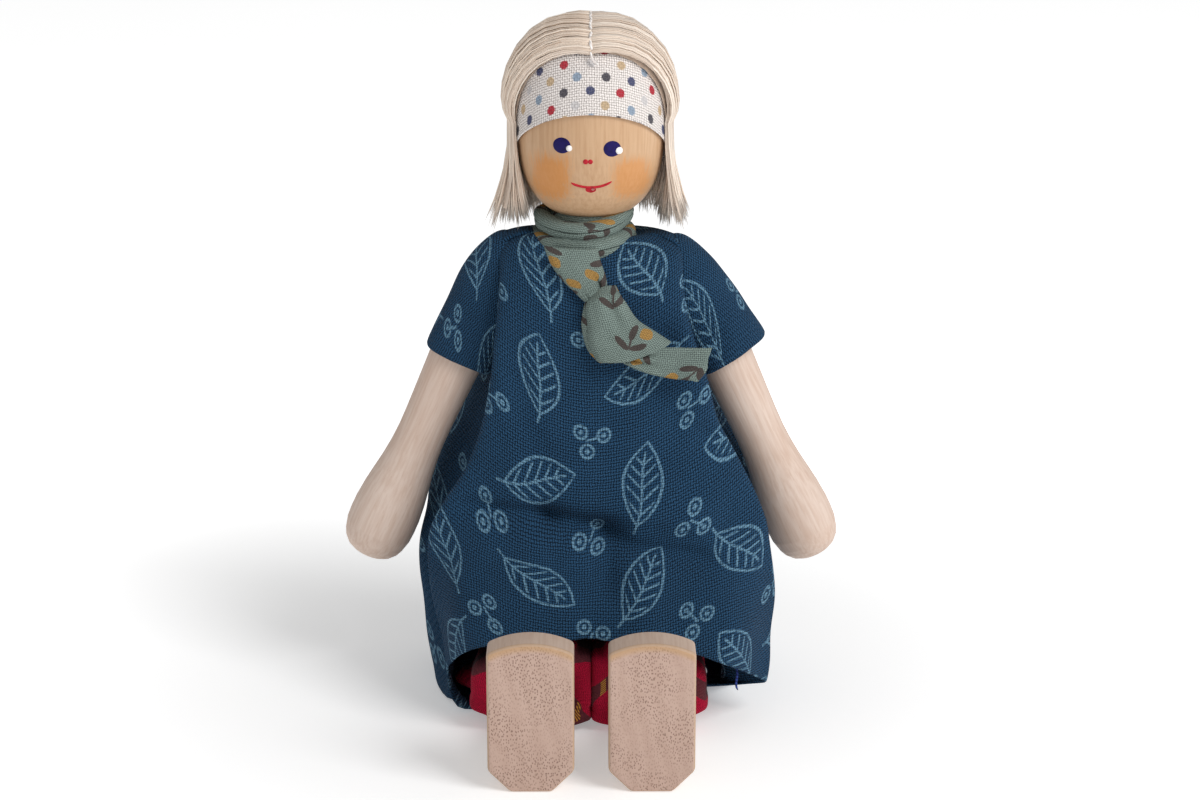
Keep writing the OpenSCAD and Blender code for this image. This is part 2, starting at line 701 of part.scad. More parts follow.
// Shares of the way round for the columns of a panel, which draw back from the armhole
front_keys = [0, 0.035, 0.07, 0.095, 0.12, 0.136, 0.152, 0.16, 0.168, 0.189, seam_key];
back_keys = [seam_key, 0.236, 0.262, 0.298, 0.334, 0.37, 0.413, 0.457, 0.5];
hole_front = 0.152;
hole_back = 0.3;
function hole_open(i) =
    let (z = dress_point(i, seam_key, 1, 0)[2])
    i <= shoulder_rows ? 0 : 1 - ease((shoulder_z - 3 - z) / 4);
function front_key(t, i) = t * lerp(1, hole_front / seam_key, hole_open(i));
function back_key(t, i) = 0.5 - (0.5 - t) * lerp(1, (0.5 - hole_back) / (0.5 - seam_key), hole_open(i));
function mirrored_row(cells, i, inset, facing) = concat(
    [for (k = [len(cells) - 1:-1:1]) dress_point(i, cells[k], facing > 0 ? -1 : 1, inset)],
    [for (c = cells) dress_point(i, c, facing > 0 ? 1 : -1, inset)]
);
function front_grid(inset) = [
    for (i = [0:dress_rows]) mirrored_row([for (t = front_keys) front_key(t, i)], i, inset, 1)
];
function back_grid(inset) = [
    for (i = [0:dress_rows])
        mirrored_row([for (k = [len(back_keys) - 1:-1:0]) back_key(back_keys[k], i)], i, inset, -1)
];

module dress_front() {
    color("steelblue") sheet(front_grid(0), front_grid(cloth));
}

module dress_back() {
    color("steelblue") sheet(back_grid(0), back_grid(cloth));
}

// A sleeve over the round top of the arm, open towards the bodice
module sleeve_form(inset) {
    translate([shoulder_x, 0, shoulder_z]) {
        sphere(arm_top_r + cloth_gap + cloth - inset);
        rotate([0, 180 - arm_splay, 0])
            cylinder(r1 = arm_top_r + cloth_gap + cloth - inset, r2 = sleeve_r + 0.2 - inset,
                h = sleeve_len + (inset > 0 ? 1 : 0));
    }
}
module sleeve(side) {
    color("steelblue") on_side(side) difference() {
        sleeve_form(0);
        sleeve_form(cloth);
        translate([bodice_half + cloth_gap - 20, -10, shoulder_z - 30]) cube([20, 20, 40]);
    }
}

// Bloomers

// Outline of the bloomers' waist, grown from the torso block
module waist_outline(grow) {
    rounded_rect(torso_w + 2 * grow, torso_d + 2 * grow, torso_corner + grow);
}
elastic_gap = 0.3;
casing_in = elastic_gap * 2 + elastic_t;
seat_half = hip_x + leg_top_r + cloth_gap;

module bloomer_seat() {
    grow = max(casing_in, seat_half - torso_w / 2);
    back = tongue_d / 2 + cloth_gap;
    color("firebrick") difference() {
        linear_extrude(waist_z) waist_outline(grow + cloth);
        translate([0, 0, cloth]) linear_extrude(waist_z) waist_outline(grow);
        translate([-40, -30, -1]) cube([80, 30 + back, torso_bottom - cloth_gap + 1]);
    }
    color("firebrick") translate([-tongue_w / 2 + cloth_gap, -tongue_d / 2, 0])
        cube([tongue_w - 2 * cloth_gap, tongue_d + 2, cloth]);
}

module waist_elastic() {
    color("white") translate([0, 0, waist_z - elastic_h - 1]) difference() {
        linear_extrude(elastic_h) waist_outline(elastic_gap + elastic_t);
        translate([0, 0, -1]) linear_extrude(elastic_h + 2) waist_outline(elastic_gap);
    }
}

// A gathered tube over the leg, flattened where it lies on the seat
bloomer_start = torso_d / 2 + 1.4;
bloomer_rows = 10;
bloomer_cols = 24;
function bloomer_point(i, j, inset) =
    let (
        t = i / bloomer_rows,
        b = 360 * j / bloomer_cols,
        y = lerp(bloomer_start, bloomer_len, t),
        full = ease(t * 2.6) - 0.12 * ease((t - 0.75) * 4),
        wave = 0.35 * sin(180 * t) * cos(7 * b + 60 * t),
        w = lerp(leg_top_r + cloth_gap + cloth, bloomer_r, full) - inset + wave,
        up = lerp(leg_top_r + cloth_gap + cloth, bloomer_rise, full) - inset + wave,
        low = hip_z - floor_gap - inset
    )
    [hip_x + w * sin(b), -y, hip_z + (cos(b) > 0 ? up : low) * spow(cos(b), 0.85)];
module bloomer_leg(side) {
    outer = [for (i = [0:bloomer_rows]) [for (j = [0:bloomer_cols - 1]) bloomer_point(i, j, 0)]];
    inner = [for (i = [0:bloomer_rows]) [for (j = [0:bloomer_cols - 1]) bloomer_point(i, j, cloth)]];
    color("firebrick") on_side(side) sleeve_tube(outer, inner);
}

head();
neck_dowel();
torso();
elastic(shoulder_z, shoulder_x);  // shoulder_elastic
elastic(hip_z, hip_x);  // hip_elastic
arm(1);  // left_arm
arm(-1);  // right_arm
leg(1);  // left_leg
leg(-1);  // right_leg
hair(1);  // hair_left
hair(-1);  // hair_right
parting_stitch();
headband();
scarf_wrap();
scarf_drop();
scarf_knot();
scarf_tail();
dress_front();
dress_back();
sleeve(1);  // left_sleeve
sleeve(-1);  // right_sleeve
bloomer_seat();
bloomer_leg(1);  // left_bloomer_leg
bloomer_leg(-1);  // right_bloomer_leg
waist_elastic();
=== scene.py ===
# %% [markdown]
# # A seated wooden doll in cotton clothes
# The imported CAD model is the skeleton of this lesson: it says where every piece is and how it moves.
# This file adds the looks. Wood that already has its true shape only gets a finish, and cloth, hair and
# painted details are modelled anew in the same frame. All lengths below are written in millimetres.

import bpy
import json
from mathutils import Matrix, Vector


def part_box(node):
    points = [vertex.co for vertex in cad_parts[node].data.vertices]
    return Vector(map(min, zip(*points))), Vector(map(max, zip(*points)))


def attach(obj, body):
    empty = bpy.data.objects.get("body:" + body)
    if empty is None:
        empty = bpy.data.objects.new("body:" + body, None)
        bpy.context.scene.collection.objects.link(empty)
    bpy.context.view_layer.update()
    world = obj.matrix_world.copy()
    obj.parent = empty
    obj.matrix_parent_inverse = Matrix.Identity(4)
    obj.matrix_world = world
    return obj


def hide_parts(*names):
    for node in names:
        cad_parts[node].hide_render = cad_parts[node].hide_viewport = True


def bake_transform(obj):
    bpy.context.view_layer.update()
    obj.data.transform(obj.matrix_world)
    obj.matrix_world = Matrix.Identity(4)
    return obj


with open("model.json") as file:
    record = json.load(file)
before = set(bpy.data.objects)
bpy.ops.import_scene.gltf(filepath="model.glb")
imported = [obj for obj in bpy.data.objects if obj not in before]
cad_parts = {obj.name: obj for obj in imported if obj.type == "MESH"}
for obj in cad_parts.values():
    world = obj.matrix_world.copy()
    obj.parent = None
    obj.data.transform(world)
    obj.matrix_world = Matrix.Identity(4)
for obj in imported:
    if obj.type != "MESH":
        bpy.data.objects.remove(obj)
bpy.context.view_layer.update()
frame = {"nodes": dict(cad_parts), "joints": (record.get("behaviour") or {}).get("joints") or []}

# %% Tools and the sizes that the frame gives
import json
import math
import random

import bmesh
import bpy
from mathutils import Matrix, Vector, noise

MM = 0.001
NODES = frame["nodes"]


def box_mm(node):
    """Lowest and highest corner of a CAD node, in millimetres."""
    low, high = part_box(node)
    return low / MM, high / MM


PIVOT = {joint["name"]: Vector(joint["pos_m"]) / MM for joint in frame["joints"]}
SHOULDER = PIVOT["left_shoulder"]
HIP = PIVOT["left_hip"]
head_low, head_high = box_mm("head")
HEAD_MID = (head_low + head_high) / 2
HEAD_R = (head_high.x - head_low.x) / 2
HEAD_HALF = (head_high.z - head_low.z) / 2
TORSO_TOP = box_mm("torso")[1].z
print("head", round(HEAD_R, 2), round(HEAD_HALF, 2), "torso top", round(TORSO_TOP, 2))

# %% [markdown]
# ## Small curves
# A doll's dress is cut by eye, so most of its lines are smooth curves through a few measured points.
# One function gives such a curve: a table of rows, each a key and a value, is read with a smooth spline.

# %% Smooth curves through short tables


def lerp(a, b, t):
    return a + (b - a) * t


def ease(t):
    t = min(1.0, max(0.0, t))
    return t * t * (3 - 2 * t)


def bent(value, power):
    """A power that keeps the sign, which squares off a circle's sine and cosine."""
    return math.copysign(abs(value) ** power, value)


def along(rows, key):
    """The value at a key on a smooth curve through rows of (key, value) with rising keys."""
    last = len(rows) - 1
    i = max([k for k in range(last) if rows[k][0] <= key], default=0)

    def slope(k):
        a, b = rows[max(0, k - 1)], rows[min(last, k + 1)]
        return (b[1] - a[1]) / (b[0] - a[0])

    (k0, v0), (k1, v1) = rows[i], rows[i + 1]
    h = k1 - k0
    t = min(1.0, max(0.0, (key - k0) / h))
    return (
        (2 * t**3 - 3 * t**2 + 1) * v0 + (t**3 - 2 * t**2 + t) * h * slope(i)
        + (3 * t**2 - 2 * t**3) * v1 + (t**3 - t**2) * h * slope(i + 1)
    )


def along_points(keys, points, key):
    """A point on a smooth curve through points at rising keys."""
    axes = range(len(points[0]))
    return Vector([along([(k, p[axis]) for k, p in zip(keys, points)], key) for axis in axes])


print("halfway on a test curve", round(along([(0, 0), (1, 1), (2, 0)], 0.5), 3))

# %% [markdown]
# ## From a mesh to a piece
# A piece is drawn in millimetres, scaled to metres and kept at the origin, as the CAD nodes are.
# Then it is told which body carries it and which nodes it stands for.

# %% Pieces, and how they settle on the frame


def piece(name, shape, finish):
    """A smooth shaded object from a bmesh that was drawn in millimetres."""
    bmesh.ops.scale(shape, vec=(MM, MM, MM), verts=shape.verts)
    mesh = bpy.data.meshes.new(name)
    shape.to_mesh(mesh)
    shape.free()
    mesh.polygons.foreach_set("use_smooth", [True] * len(mesh.polygons))
    mesh.materials.append(finish)
    made = bpy.data.objects.new(name, mesh)
    bpy.context.scene.collection.objects.link(made)
    print(name, len(mesh.polygons), "faces")
    return made


def refinish(node, finish):
    """Gives a CAD node that keeps its shape a new finish."""
    NODES[node].data.materials.clear()
    NODES[node].data.materials.append(finish)


def settle(made, body, slot, *nodes):
    """Rides a piece on a body and hides the nodes that it stands for. The slot is not used."""
    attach(made, body)
    if nodes:
        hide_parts(*nodes)
    return made


def soften(made, thickness=0.0):
    """Gives a sheet its thickness, and rounds it by subdivision."""
    if thickness:
        wall = made.modifiers.new("thickness", "SOLIDIFY")
        wall.thickness = thickness * MM
        wall.offset = 0
    rounding = made.modifiers.new("softness", "SUBSURF")
    rounding.levels = rounding.render_levels = 1
    return made


# %% [markdown]
# ## Cloth and threads start as a grid
# Cloth is woven flat, so each garment starts as Blender's flat grid, and a function says where each point
# goes. The grid remembers how far it is along the cloth in its UV map, in millimetres: weave and print follow
# that, and they keep their scale wherever the cloth is gathered. A thread is the same grid rolled into a thin
# tube.

# %% Grids that become cloth and threads


def lay_grid(mesh, cols, rows, place):
    """Adds a grid to a mesh, moves every point to place(u, v), and returns the points by column and row."""
    made = bmesh.ops.create_grid(mesh, x_segments=cols, y_segments=rows, size=0.5)["verts"]
    spots = {}
    for vert in made:
        i, j = round((vert.co.x + 0.5) * cols), round((0.5 - vert.co.y) * rows)
        spots[i, j] = vert
    move_grid(spots, cols, rows, place)
    return spots


def move_grid(spots, cols, rows, place):
    for (i, j), vert in spots.items():
        vert.co = place(i / cols, j / rows)


def measure_cloth(mesh, spots, cols, rows, start=(0.0, 0.0)):
    """Writes lengths along the cloth, from its middle column and its top row, into the UV map."""
    uv = mesh.loops.layers.uv.verify()
    middle = cols // 2
    flat = {}
    for j in range(rows + 1):
        flat[middle, j] = start[0]
        for i in range(middle + 1, cols + 1):
            flat[i, j] = flat[i - 1, j] + (spots[i, j].co - spots[i - 1, j].co).length
        for i in range(middle - 1, -1, -1):
            flat[i, j] = flat[i + 1, j] - (spots[i, j].co - spots[i + 1, j].co).length
    down = {(i, 0): start[1] for i in range(cols + 1)}
    for j in range(1, rows + 1):
        for i in range(cols + 1):
            down[i, j] = down[i, j - 1] + (spots[i, j].co - spots[i, j - 1].co).length
    index = {vert: spot for spot, vert in spots.items()}
    for face in {face for vert in spots.values() for face in vert.link_faces}:
        for loop in face.loops:
            spot = index[loop.vert]
            loop[uv].uv = (flat[spot], down[spot])
    width = sum(flat[cols, j] - flat[0, j] for j in range(rows + 1)) / (rows + 1)
    length = sum(down[i, rows] for i in range(cols + 1)) / (cols + 1) - start[1]
    return width, length


def close_up(mesh):
    """Merges the points of a rolled grid and turns its faces outwards."""
    bmesh.ops.remove_doubles(mesh, verts=mesh.verts, dist=0.002)
    bmesh.ops.recalc_face_normals(mesh, faces=mesh.faces)
    return mesh


def cloth(cols, rows, place, start=(0.0, 0.0), rolled=False, smooth=None):
    """A sheet of cloth as a mesh, with a UV map that is measured on its smooth form, before the creases."""
    mesh = bmesh.new()
    spots = lay_grid(mesh, cols, rows, smooth or place)
    width, length = measure_cloth(mesh, spots, cols, rows, start)
    if smooth:
        move_grid(spots, cols, rows, place)
    print("  cloth about", round(width, 1), "by", round(length, 1), "mm")
    return close_up(mesh) if rolled else mesh


def thread(mesh, path, radius, outward, sides=4, layer=None, tone=0.0):
    """A thin tube along a path, pointed at both ends; outward leads away from what it lies on."""
    steps = len(path) - 1
    frames = []
    for i in range(steps + 1):
        ahead = (path[min(i + 1, steps)] - path[max(i - 1, 0)]).normalized()
        side = ahead.cross(outward(path[i])).normalized()
        frames.append((side, side.cross(ahead)))

    def around(u, v):
        i = round(v * steps)
        side, up = frames[i]
        turn = 2 * math.pi * u
        wide = 0.0 if i in (0, steps) else radius
        return path[i] + (side * math.cos(turn) + up * math.sin(turn)) * wide

    spots = lay_grid(mesh, sides, steps, around)
    if layer is not None:
        for vert in spots.values():
            vert[layer] = tone


# %% [markdown]
# ## Shader maths as plain sums
# A woven or printed surface is a formula over the cloth: stripes, dots and threads at a known spacing.
# Written as nodes by hand that takes dozens of links. Here a small class wraps a socket, so that a formula
# can be typed as a sum, and a second class holds one material and adds any other node.

# %% Fields and finishes


class Field:
    """A shader value that can be used in sums."""

    def __init__(self, finish, socket):
        self.finish = finish
        self.socket = socket

    def maths(self, operation, *others):
        return self.finish.add("Math", {"operation": operation}, dict(enumerate((self, *others))))

    def __add__(self, other):
        return self.maths("ADD", other)

    def __sub__(self, other):
        return self.maths("SUBTRACT", other)

    def __mul__(self, other):
        return self.maths("MULTIPLY", other)

    def __truediv__(self, other):
        return self.maths("DIVIDE", other)

    def __mod__(self, other):
        return self.maths("FLOORED_MODULO", other)

    def __pow__(self, other):
        return self.maths("POWER", other)

    def __abs__(self):
        return self.maths("ABSOLUTE")

    def __rsub__(self, other):
        return self.finish.add("Math", {"operation": "SUBTRACT"}, {0: other, 1: self})

    __radd__ = __add__
    __rmul__ = __mul__

    def floor(self):
        return self.maths("FLOOR")

    def sine(self):
        return self.maths("SINE")

    def cosine(self):
        return self.maths("COSINE")

    def root(self):
        return self.maths("SQRT")

    def most(self, other):
        return self.maths("MAXIMUM", other)

    def fade(self, low, high):
        """0 before low and 1 after high, with a smooth step between, or the reverse if low is above high."""
        limits = {"Value": self, "From Min": low, "From Max": high}
        return self.finish.add("MapRange", {"interpolation_type": "SMOOTHSTEP"}, limits)

    def parts(self):
        """The three parts of a vector."""
        node = self.finish.add("SeparateXYZ", {}, {0: self}).socket.node
        return [Field(self.finish, output) for output in node.outputs]


def paint(red, green, blue):
    """A colour as it is read from a screen, 0 to 255, in the linear values that shaders use."""
    shares = (red / 255, green / 255, blue / 255)
    line = [c / 12.92 if c <= 0.04045 else ((c + 0.055) / 1.055) ** 2.4 for c in shares]
    return (*line, 1.0)


def titled(key):
    """The shader's own name for an input that is written with underscores."""
    return " ".join(word[0].upper() + word[1:] for word in key.split("_"))


class Finish:
    """One material, with the shader's constant settings given by name."""

    def __init__(self, name, **constants):
        self.material = bpy.data.materials.new(name)
        self.material.use_nodes = True
        self.nodes = self.material.node_tree.nodes
        self.links = self.material.node_tree.links
        self.shader = self.nodes["Principled BSDF"]
        for key, value in constants.items():
            self.shader.inputs[titled(key)].default_value = value

    def add(self, kind, settings=None, sockets=None, out=0):
        """Any node: its settings are set first, then its sockets take values or fields."""
        node = self.nodes.new("ShaderNode" + kind)
        for key, value in (settings or {}).items():
            setattr(node, key, value)
        for key, value in (sockets or {}).items():
            self.feed(node.inputs[key], value)
        return Field(self, node.outputs[out])

    def feed(self, socket, value):
        if isinstance(value, Field):
            self.links.new(value.socket, socket)
        else:
            socket.default_value = value

    def show(self, **inputs):
        """Feeds the shader, and returns the finished material."""
        for key, value in inputs.items():
            self.feed(self.shader.inputs[titled(key)], value)
        return self.material

    def where(self):
        """The place on the object, as a vector in millimetres."""
        spot = self.add("TexCoord", out="Object")
        return self.add("VectorMath", {"operation": "SCALE"}, {0: spot, "Scale": 1 / MM})

    def on_cloth(self):
        """Lengths across and down the cloth, in millimetres."""
        return self.add("UVMap").parts()[:2]

    def vector(self, x, y):
        return self.add("CombineXYZ", {}, {0: x, 1: y})

    def stretched(self, vector, scale):
        return self.add("VectorMath", {"operation": "MULTIPLY"}, {0: vector, 1: scale})

    def clouds(self, vector, scale, detail=2.0):
        return self.add("TexNoise", {}, {"Vector": vector, "Scale": scale, "Detail": detail})

    def chance(self, vector):
        """A number from 0 to 1 that stays the same all over one cell of a pattern."""
        return self.add("TexWhiteNoise", {"noise_dimensions": "2D"}, {"Vector": vector})

    def mix(self, low, high, share):
        """A colour between two others."""
        return self.add("Mix", {"data_type": "RGBA"}, {0: share, 6: low, 7: high}, out=2)

    def bump(self, height, depth, strength):
        """A normal from a height from 0 to 1 that stands for a depth in millimetres."""
        return self.add("Bump", {}, {"Height": height, "Distance": depth * MM, "Strength": strength})


# %% [markdown]
# ## Bare turned wood
# The limbs are turned from pale wood and left bare. The grain runs along each limb, as fine streaks that are
# long one way and thin the other, with short dark pores. The arms slope, so a Mapping node turns the grain
# with them. The soles are sawn across the grain and show end grain: pores as dots, and faint growth rings.

# %% Pale wood for the arms, the torso and the neck
ARM_SLOPE = math.radians(24.5)


def wood(name, pale, deep, turn=(0, 0, 0), stretch=(2.2, 2.2, 0.12)):
    """Bare wood with its grain along Z after the turn: the finish, its place, tone, streaks and colour."""
    finish = Finish(name, roughness=0.55, specular_IOR_level=0.35)
    spot = finish.where()
    turned = finish.add("Mapping", {}, {"Vector": spot, "Rotation": turn})
    lengthwise = finish.stretched(turned, stretch)
    streaks = finish.clouds(lengthwise, 1.0, 4.0)
    finer = (stretch[0] * 2.4, stretch[1] * 2.4, stretch[2] * 4)
    pores = finish.clouds(finish.stretched(turned, finer), 1.0, 1.0)
    blush = finish.clouds(turned, 0.07, 2.0)
    tone = streaks.fade(0.3, 0.72) * 0.55 + blush.fade(0.3, 0.7) * 0.35 + pores.fade(0.62, 0.72) * 0.25
    return finish, spot, tone, streaks, finish.mix(pale, deep, tone)


def limb_wood(name, slope):
    pale, deep = paint(222, 203, 190), paint(201, 173, 155)
    finish, _, tone, streaks, colour = wood(name, pale, deep, turn=(0, slope, 0))
    return finish.show(base_color=colour, roughness=0.5 + tone * 0.15, normal=finish.bump(streaks, 0.05, 0.6))


for node, slope in (("left_arm", ARM_SLOPE), ("right_arm", -ARM_SLOPE), ("torso", 0), ("neck_dowel", 0)):
    refinish(node, limb_wood("pale_wood_" + node, slope))
    print("bare wood on", node)

# %% [markdown]
# ## The head and its blush
# The head is a turned egg of warmer wood. Its cheeks are rubbed with orange colour, which soaks along the
# grain, so the blush is a soft oval in the wood's own finish with an edge that follows the streaks.

# %% Warm wood with rubbed cheeks
CHEEKS = [((-6.4, 89.4), (3.1, 4.0), 0.74), ((6.6, 89.2), (3.1, 3.5), 0.62)]


def head_wood():
    finish, spot, tone, streaks, colour = wood(
        "head_wood", paint(206, 171, 136), paint(187, 147, 110), stretch=(2.2, 2.2, 0.09)
    )
    x, y, z = spot.parts()
    front = y.fade(-2, -5)
    for (mid_x, mid_z), (wide, high), strength in CHEEKS:
        oval = (abs((x - mid_x) / wide) ** 3 + abs((z - mid_z) / high) ** 3) ** (1 / 3)
        reach = oval + (streaks - 0.5) * 1.3
        blush = reach.fade(1.3, 0.6) * front * strength
        colour = finish.mix(colour, paint(202, 128, 46), blush)
    grain = finish.bump(streaks, 0.04, 0.5)
    return finish.show(base_color=colour, roughness=0.42 + tone * 0.15, normal=grain)


refinish("head", head_wood())
print("cheeks at", [cheek[0] for cheek in CHEEKS])

# %% [markdown]
# ## The painted face
# Eyes, nose and mouth are dabs of paint that lie on the wood, slightly raised. They could be masks in the
# head's finish, but as thin pieces they stay crisp at any size. Each dab is a sphere pressed flat onto the
# head's surface, and the mouth is a fine thread laid on it.

# %% Dabs of paint on the head's surface
HEAD_POWER = 2.5
EYES = [((-4.67, 94.97), (1.42, 1.3)), ((3.45, 94.48), (1.42, 1.3))]
GLINTS = [((-3.48, 94.58), 0.5), ((4.56, 94.16), 0.6)]
NOSE = [((-0.84, 92.42), 0.43), ((-0.06, 92.42), 0.4)]
MOUTH = [
    (-3.45, 89.0), (-2.9, 88.6), (-2.0, 88.3), (-1.0, 88.1), (0, 88.05), (1.0, 88.12), (2.0, 88.32),
    (3.0, 88.75), (3.75, 89.25),
]
MOUTH_R = 0.26
LOWER_LIP = ((0.0, 87.72), (0.98, 0.66))
LIP_GLINT = ((0.34, 87.78), (0.34, 0.26))


def head_ring(z):
    """Radius of the head at a height."""
    share = min(1.0, abs(z - HEAD_MID.z) / HEAD_HALF)
    return HEAD_R * max(0.0, 1 - share**HEAD_POWER) ** (1 / HEAD_POWER)


def on_face(x, z, lift=0.0):
    """The point of the head's front at a place seen from the front."""
    return Vector((x, -math.sqrt(max(0.0, head_ring(z) ** 2 - x * x)) - lift, z))


def from_head(point):
    return (point - HEAD_MID).normalized()


def paint_finish(name, colour, roughness):
    """Brushed paint: a little uneven in tone and gloss."""
    finish = Finish(name, specular_IOR_level=0.2)
    marks = finish.clouds(finish.where(), 1.6, 3.0)
    darker = tuple(c * 0.55 for c in colour[:3]) + (1.0,)
    return finish.show(
        base_color=finish.mix(colour, darker, marks.fade(0.45, 0.75)),
        roughness=roughness + marks * 0.1,
        normal=finish.bump(marks, 0.03, 0.4),
    )


def dab(mesh, middle, size, thick):
    """A sphere pressed onto the face."""
    made = bmesh.ops.create_uvsphere(mesh, u_segments=28, v_segments=14, radius=1.0)["verts"]
    for vert in made:
        x, y, z = vert.co
        spot = on_face(middle[0] + x * size[0], middle[1] + z * size[1])
        vert.co = spot + from_head(spot) * (-y * thick)


def dabs(name, finish, rows, thick):
    mesh = bmesh.new()
    for middle, size in rows:
        dab(mesh, middle, size if isinstance(size, tuple) else (size, size), thick)
    bmesh.ops.recalc_face_normals(mesh, faces=mesh.faces)
    return settle(piece(name, mesh, finish), "head", "head_wood")


dabs("eyes", paint_finish("indigo_paint", paint(20, 9, 84), roughness=0.45), EYES, thick=0.14)
dabs("eye_glints", paint_finish("white_paint", paint(248, 246, 244), roughness=0.4), GLINTS, thick=0.34)
red_paint = paint_finish("red_paint", paint(186, 34, 48), roughness=0.42)
dabs("nose_dots", red_paint, NOSE, thick=0.16)
dabs("lower_lip", red_paint, [LOWER_LIP], thick=0.12)
dabs("lip_glint", paint_finish("pink_paint", paint(214, 140, 130), roughness=0.45), [LIP_GLINT], thick=0.17)

mouth = bmesh.new()
thread(mouth, [on_face(x, z, lift=0.02) for x, z in MOUTH], MOUTH_R, from_head, sides=8)
settle(soften(piece("mouth_line", close_up(mouth), red_paint)), "head", "head_wood")

# %% [markdown]
# ## Legs with sawn feet
# A leg is a turned rod with a round hip and a flat foot block glued on. The CAD legs are right in size, but a
# saw and sandpaper leave soft edges, which catch the light on the soles. So each leg is modelled again: the
# rod is a profile spun round its axis, and the foot is an outline extruded and bevelled.

# %% End grain and side grain of the legs
leg_low, leg_high = box_mm("left_leg")
SOLE_Y = leg_low.y
FOOT = {"width": 13.5, "height": leg_high.z, "thick": 6.0, "heel_cut": 3.5, "toe_r": 14.6, "edge": 0.55}


def leg_wood():
    finish, spot, tone, streaks, colour = wood(
        "leg_wood", paint(203, 182, 166), paint(186, 160, 142), turn=(math.pi / 2, 0, 0)
    )
    x, y, z = spot.parts()
    sole = y.fade(SOLE_Y + 0.16, SOLE_Y + 0.04)
    face = finish.vector(x, z)
    rings = ((x + z * 0.12 + finish.clouds(face, 0.18) * 5) * 2.2).sine()
    dashes = {"Vector": finish.vector(x, z * 0.55), "Scale": 3.0, "Randomness": 1.0}
    cells = finish.add("TexVoronoi", {"voronoi_dimensions": "2D"}, dashes)
    crowd = finish.clouds(face, 0.16, 3.0).fade(0.36, 0.6) * 0.8 + 0.2
    pores = cells.fade(0.32, 0.14) * crowd
    flecks = finish.clouds(finish.vector(x, z * 0.35), 3.4, 2.0).fade(0.55, 0.75)
    end_tone = rings * 0.08 + 0.25 + flecks * 0.3 + finish.clouds(face, 0.1) * 0.3
    end_grain = finish.mix(paint(202, 174, 160), paint(172, 142, 126), end_tone)
    end_grain = finish.mix(end_grain, paint(118, 90, 76), pores * 0.8)
    toe = FOOT["toe_r"] - ((abs(x) - HIP.x) ** 2 + (z - FOOT["height"] + FOOT["toe_r"]) ** 2).root()
    edge = toe.fade(1.6, 0.5) * z.fade(14, 17)
    end_grain = finish.mix(end_grain, paint(188, 150, 108), edge * 0.7)
    rim = y.fade(SOLE_Y + 0.9, SOLE_Y + 0.4) * (1 - sole)
    colour = finish.mix(colour, paint(184, 150, 116), rim * 0.6)
    height = streaks * (1 - sole) + (0.7 - pores * 0.6 + flecks * 0.2) * sole
    return finish.show(
        base_color=finish.mix(colour, end_grain, sole),
        roughness=0.52 + tone * 0.1 + sole * 0.12,
        normal=finish.bump(height, 0.08, 0.6),
    )


# %% One leg: a spun rod and a bevelled foot
LEG_PROFILE = [(4.6, -6), (4.32, -38), (4.3, -48)]
HIP_BALL = 5.1
TONGUE_SIDE = 4.5


def foot_outline(mid_x):
    """The sole's outline: cut corners at the heel, and an arc over the toe."""
    half, cut = FOOT["width"] / 2, FOOT["heel_cut"]
    centre = FOOT["height"] - FOOT["toe_r"]
    reach = math.asin(half / FOOT["toe_r"])
    arc = [lerp(reach, -reach, k / 14) for k in range(15)]
    line = [(half, cut)] + [(FOOT["toe_r"] * math.sin(a), centre + FOOT["toe_r"] * math.cos(a)) for a in arc]
    line += [(-half, cut), (cut - half, 0), (half - cut, 0)]
    return [Vector((mid_x + x, SOLE_Y, z)) for x, z in line]


def foot(mid_x):
    mesh = bmesh.new()
    sole = mesh.faces.new([mesh.verts.new(p) for p in foot_outline(mid_x)])
    made = bmesh.ops.extrude_face_region(mesh, geom=[sole])["geom"]
    moved = [g for g in made if isinstance(g, bmesh.types.BMVert)]
    bmesh.ops.translate(mesh, verts=moved, vec=(0, FOOT["thick"], 0))
    bmesh.ops.recalc_face_normals(mesh, faces=mesh.faces)
    sharp = [edge for edge in mesh.edges if edge.calc_face_angle(0) > math.radians(35)]
    bmesh.ops.bevel(
        mesh, geom=sharp, offset=FOOT["edge"], segments=4, profile=0.5, affect="EDGES", material=-1,
        clamp_overlap=True,
    )
    return mesh


def rod(mid_x, side):
    mesh = bmesh.new()
    turns = [math.radians(degrees) for degrees in range(90, -26, -9)]
    ball = [(HIP_BALL * math.cos(a), HIP_BALL * math.sin(a)) for a in turns]
    profile = ball + LEG_PROFILE + [(0, LEG_PROFILE[-1][1])]
    verts = [mesh.verts.new((mid_x + max(r, 0.0), y, HIP.z)) for r, y in profile]
    line = [mesh.edges.new(pair) for pair in zip(verts, verts[1:])]
    bmesh.ops.spin(
        mesh, geom=verts + line, cent=(mid_x, 0, HIP.z), axis=(0, 1, 0), angle=2 * math.pi, steps=48,
        use_merge=True,
    )
    close_up(mesh)
    cut = bmesh.ops.bisect_plane(
        mesh, geom=mesh.verts[:] + mesh.edges[:] + mesh.faces[:], plane_co=(side * TONGUE_SIDE, 0, 0),
        plane_no=(-side, 0, 0), clear_outer=True,
    )["geom_cut"]
    bmesh.ops.holes_fill(mesh, edges=[g for g in cut if isinstance(g, bmesh.types.BMEdge)], sides=0)
    bmesh.ops.recalc_face_normals(mesh, faces=mesh.faces)
    return mesh


def joined(made, other):
    """The two solids as one, with no faces left inside."""
    union = made.modifiers.new("union", "BOOLEAN")
    union.operation = "UNION"
    union.solver = "EXACT"
    union.object = other
    bpy.context.view_layer.update()
    mesh = bpy.data.meshes.new_from_object(made.evaluated_get(bpy.context.evaluated_depsgraph_get()))
    made.modifiers.clear()
    made.data = mesh
    bpy.data.objects.remove(other)
    return made


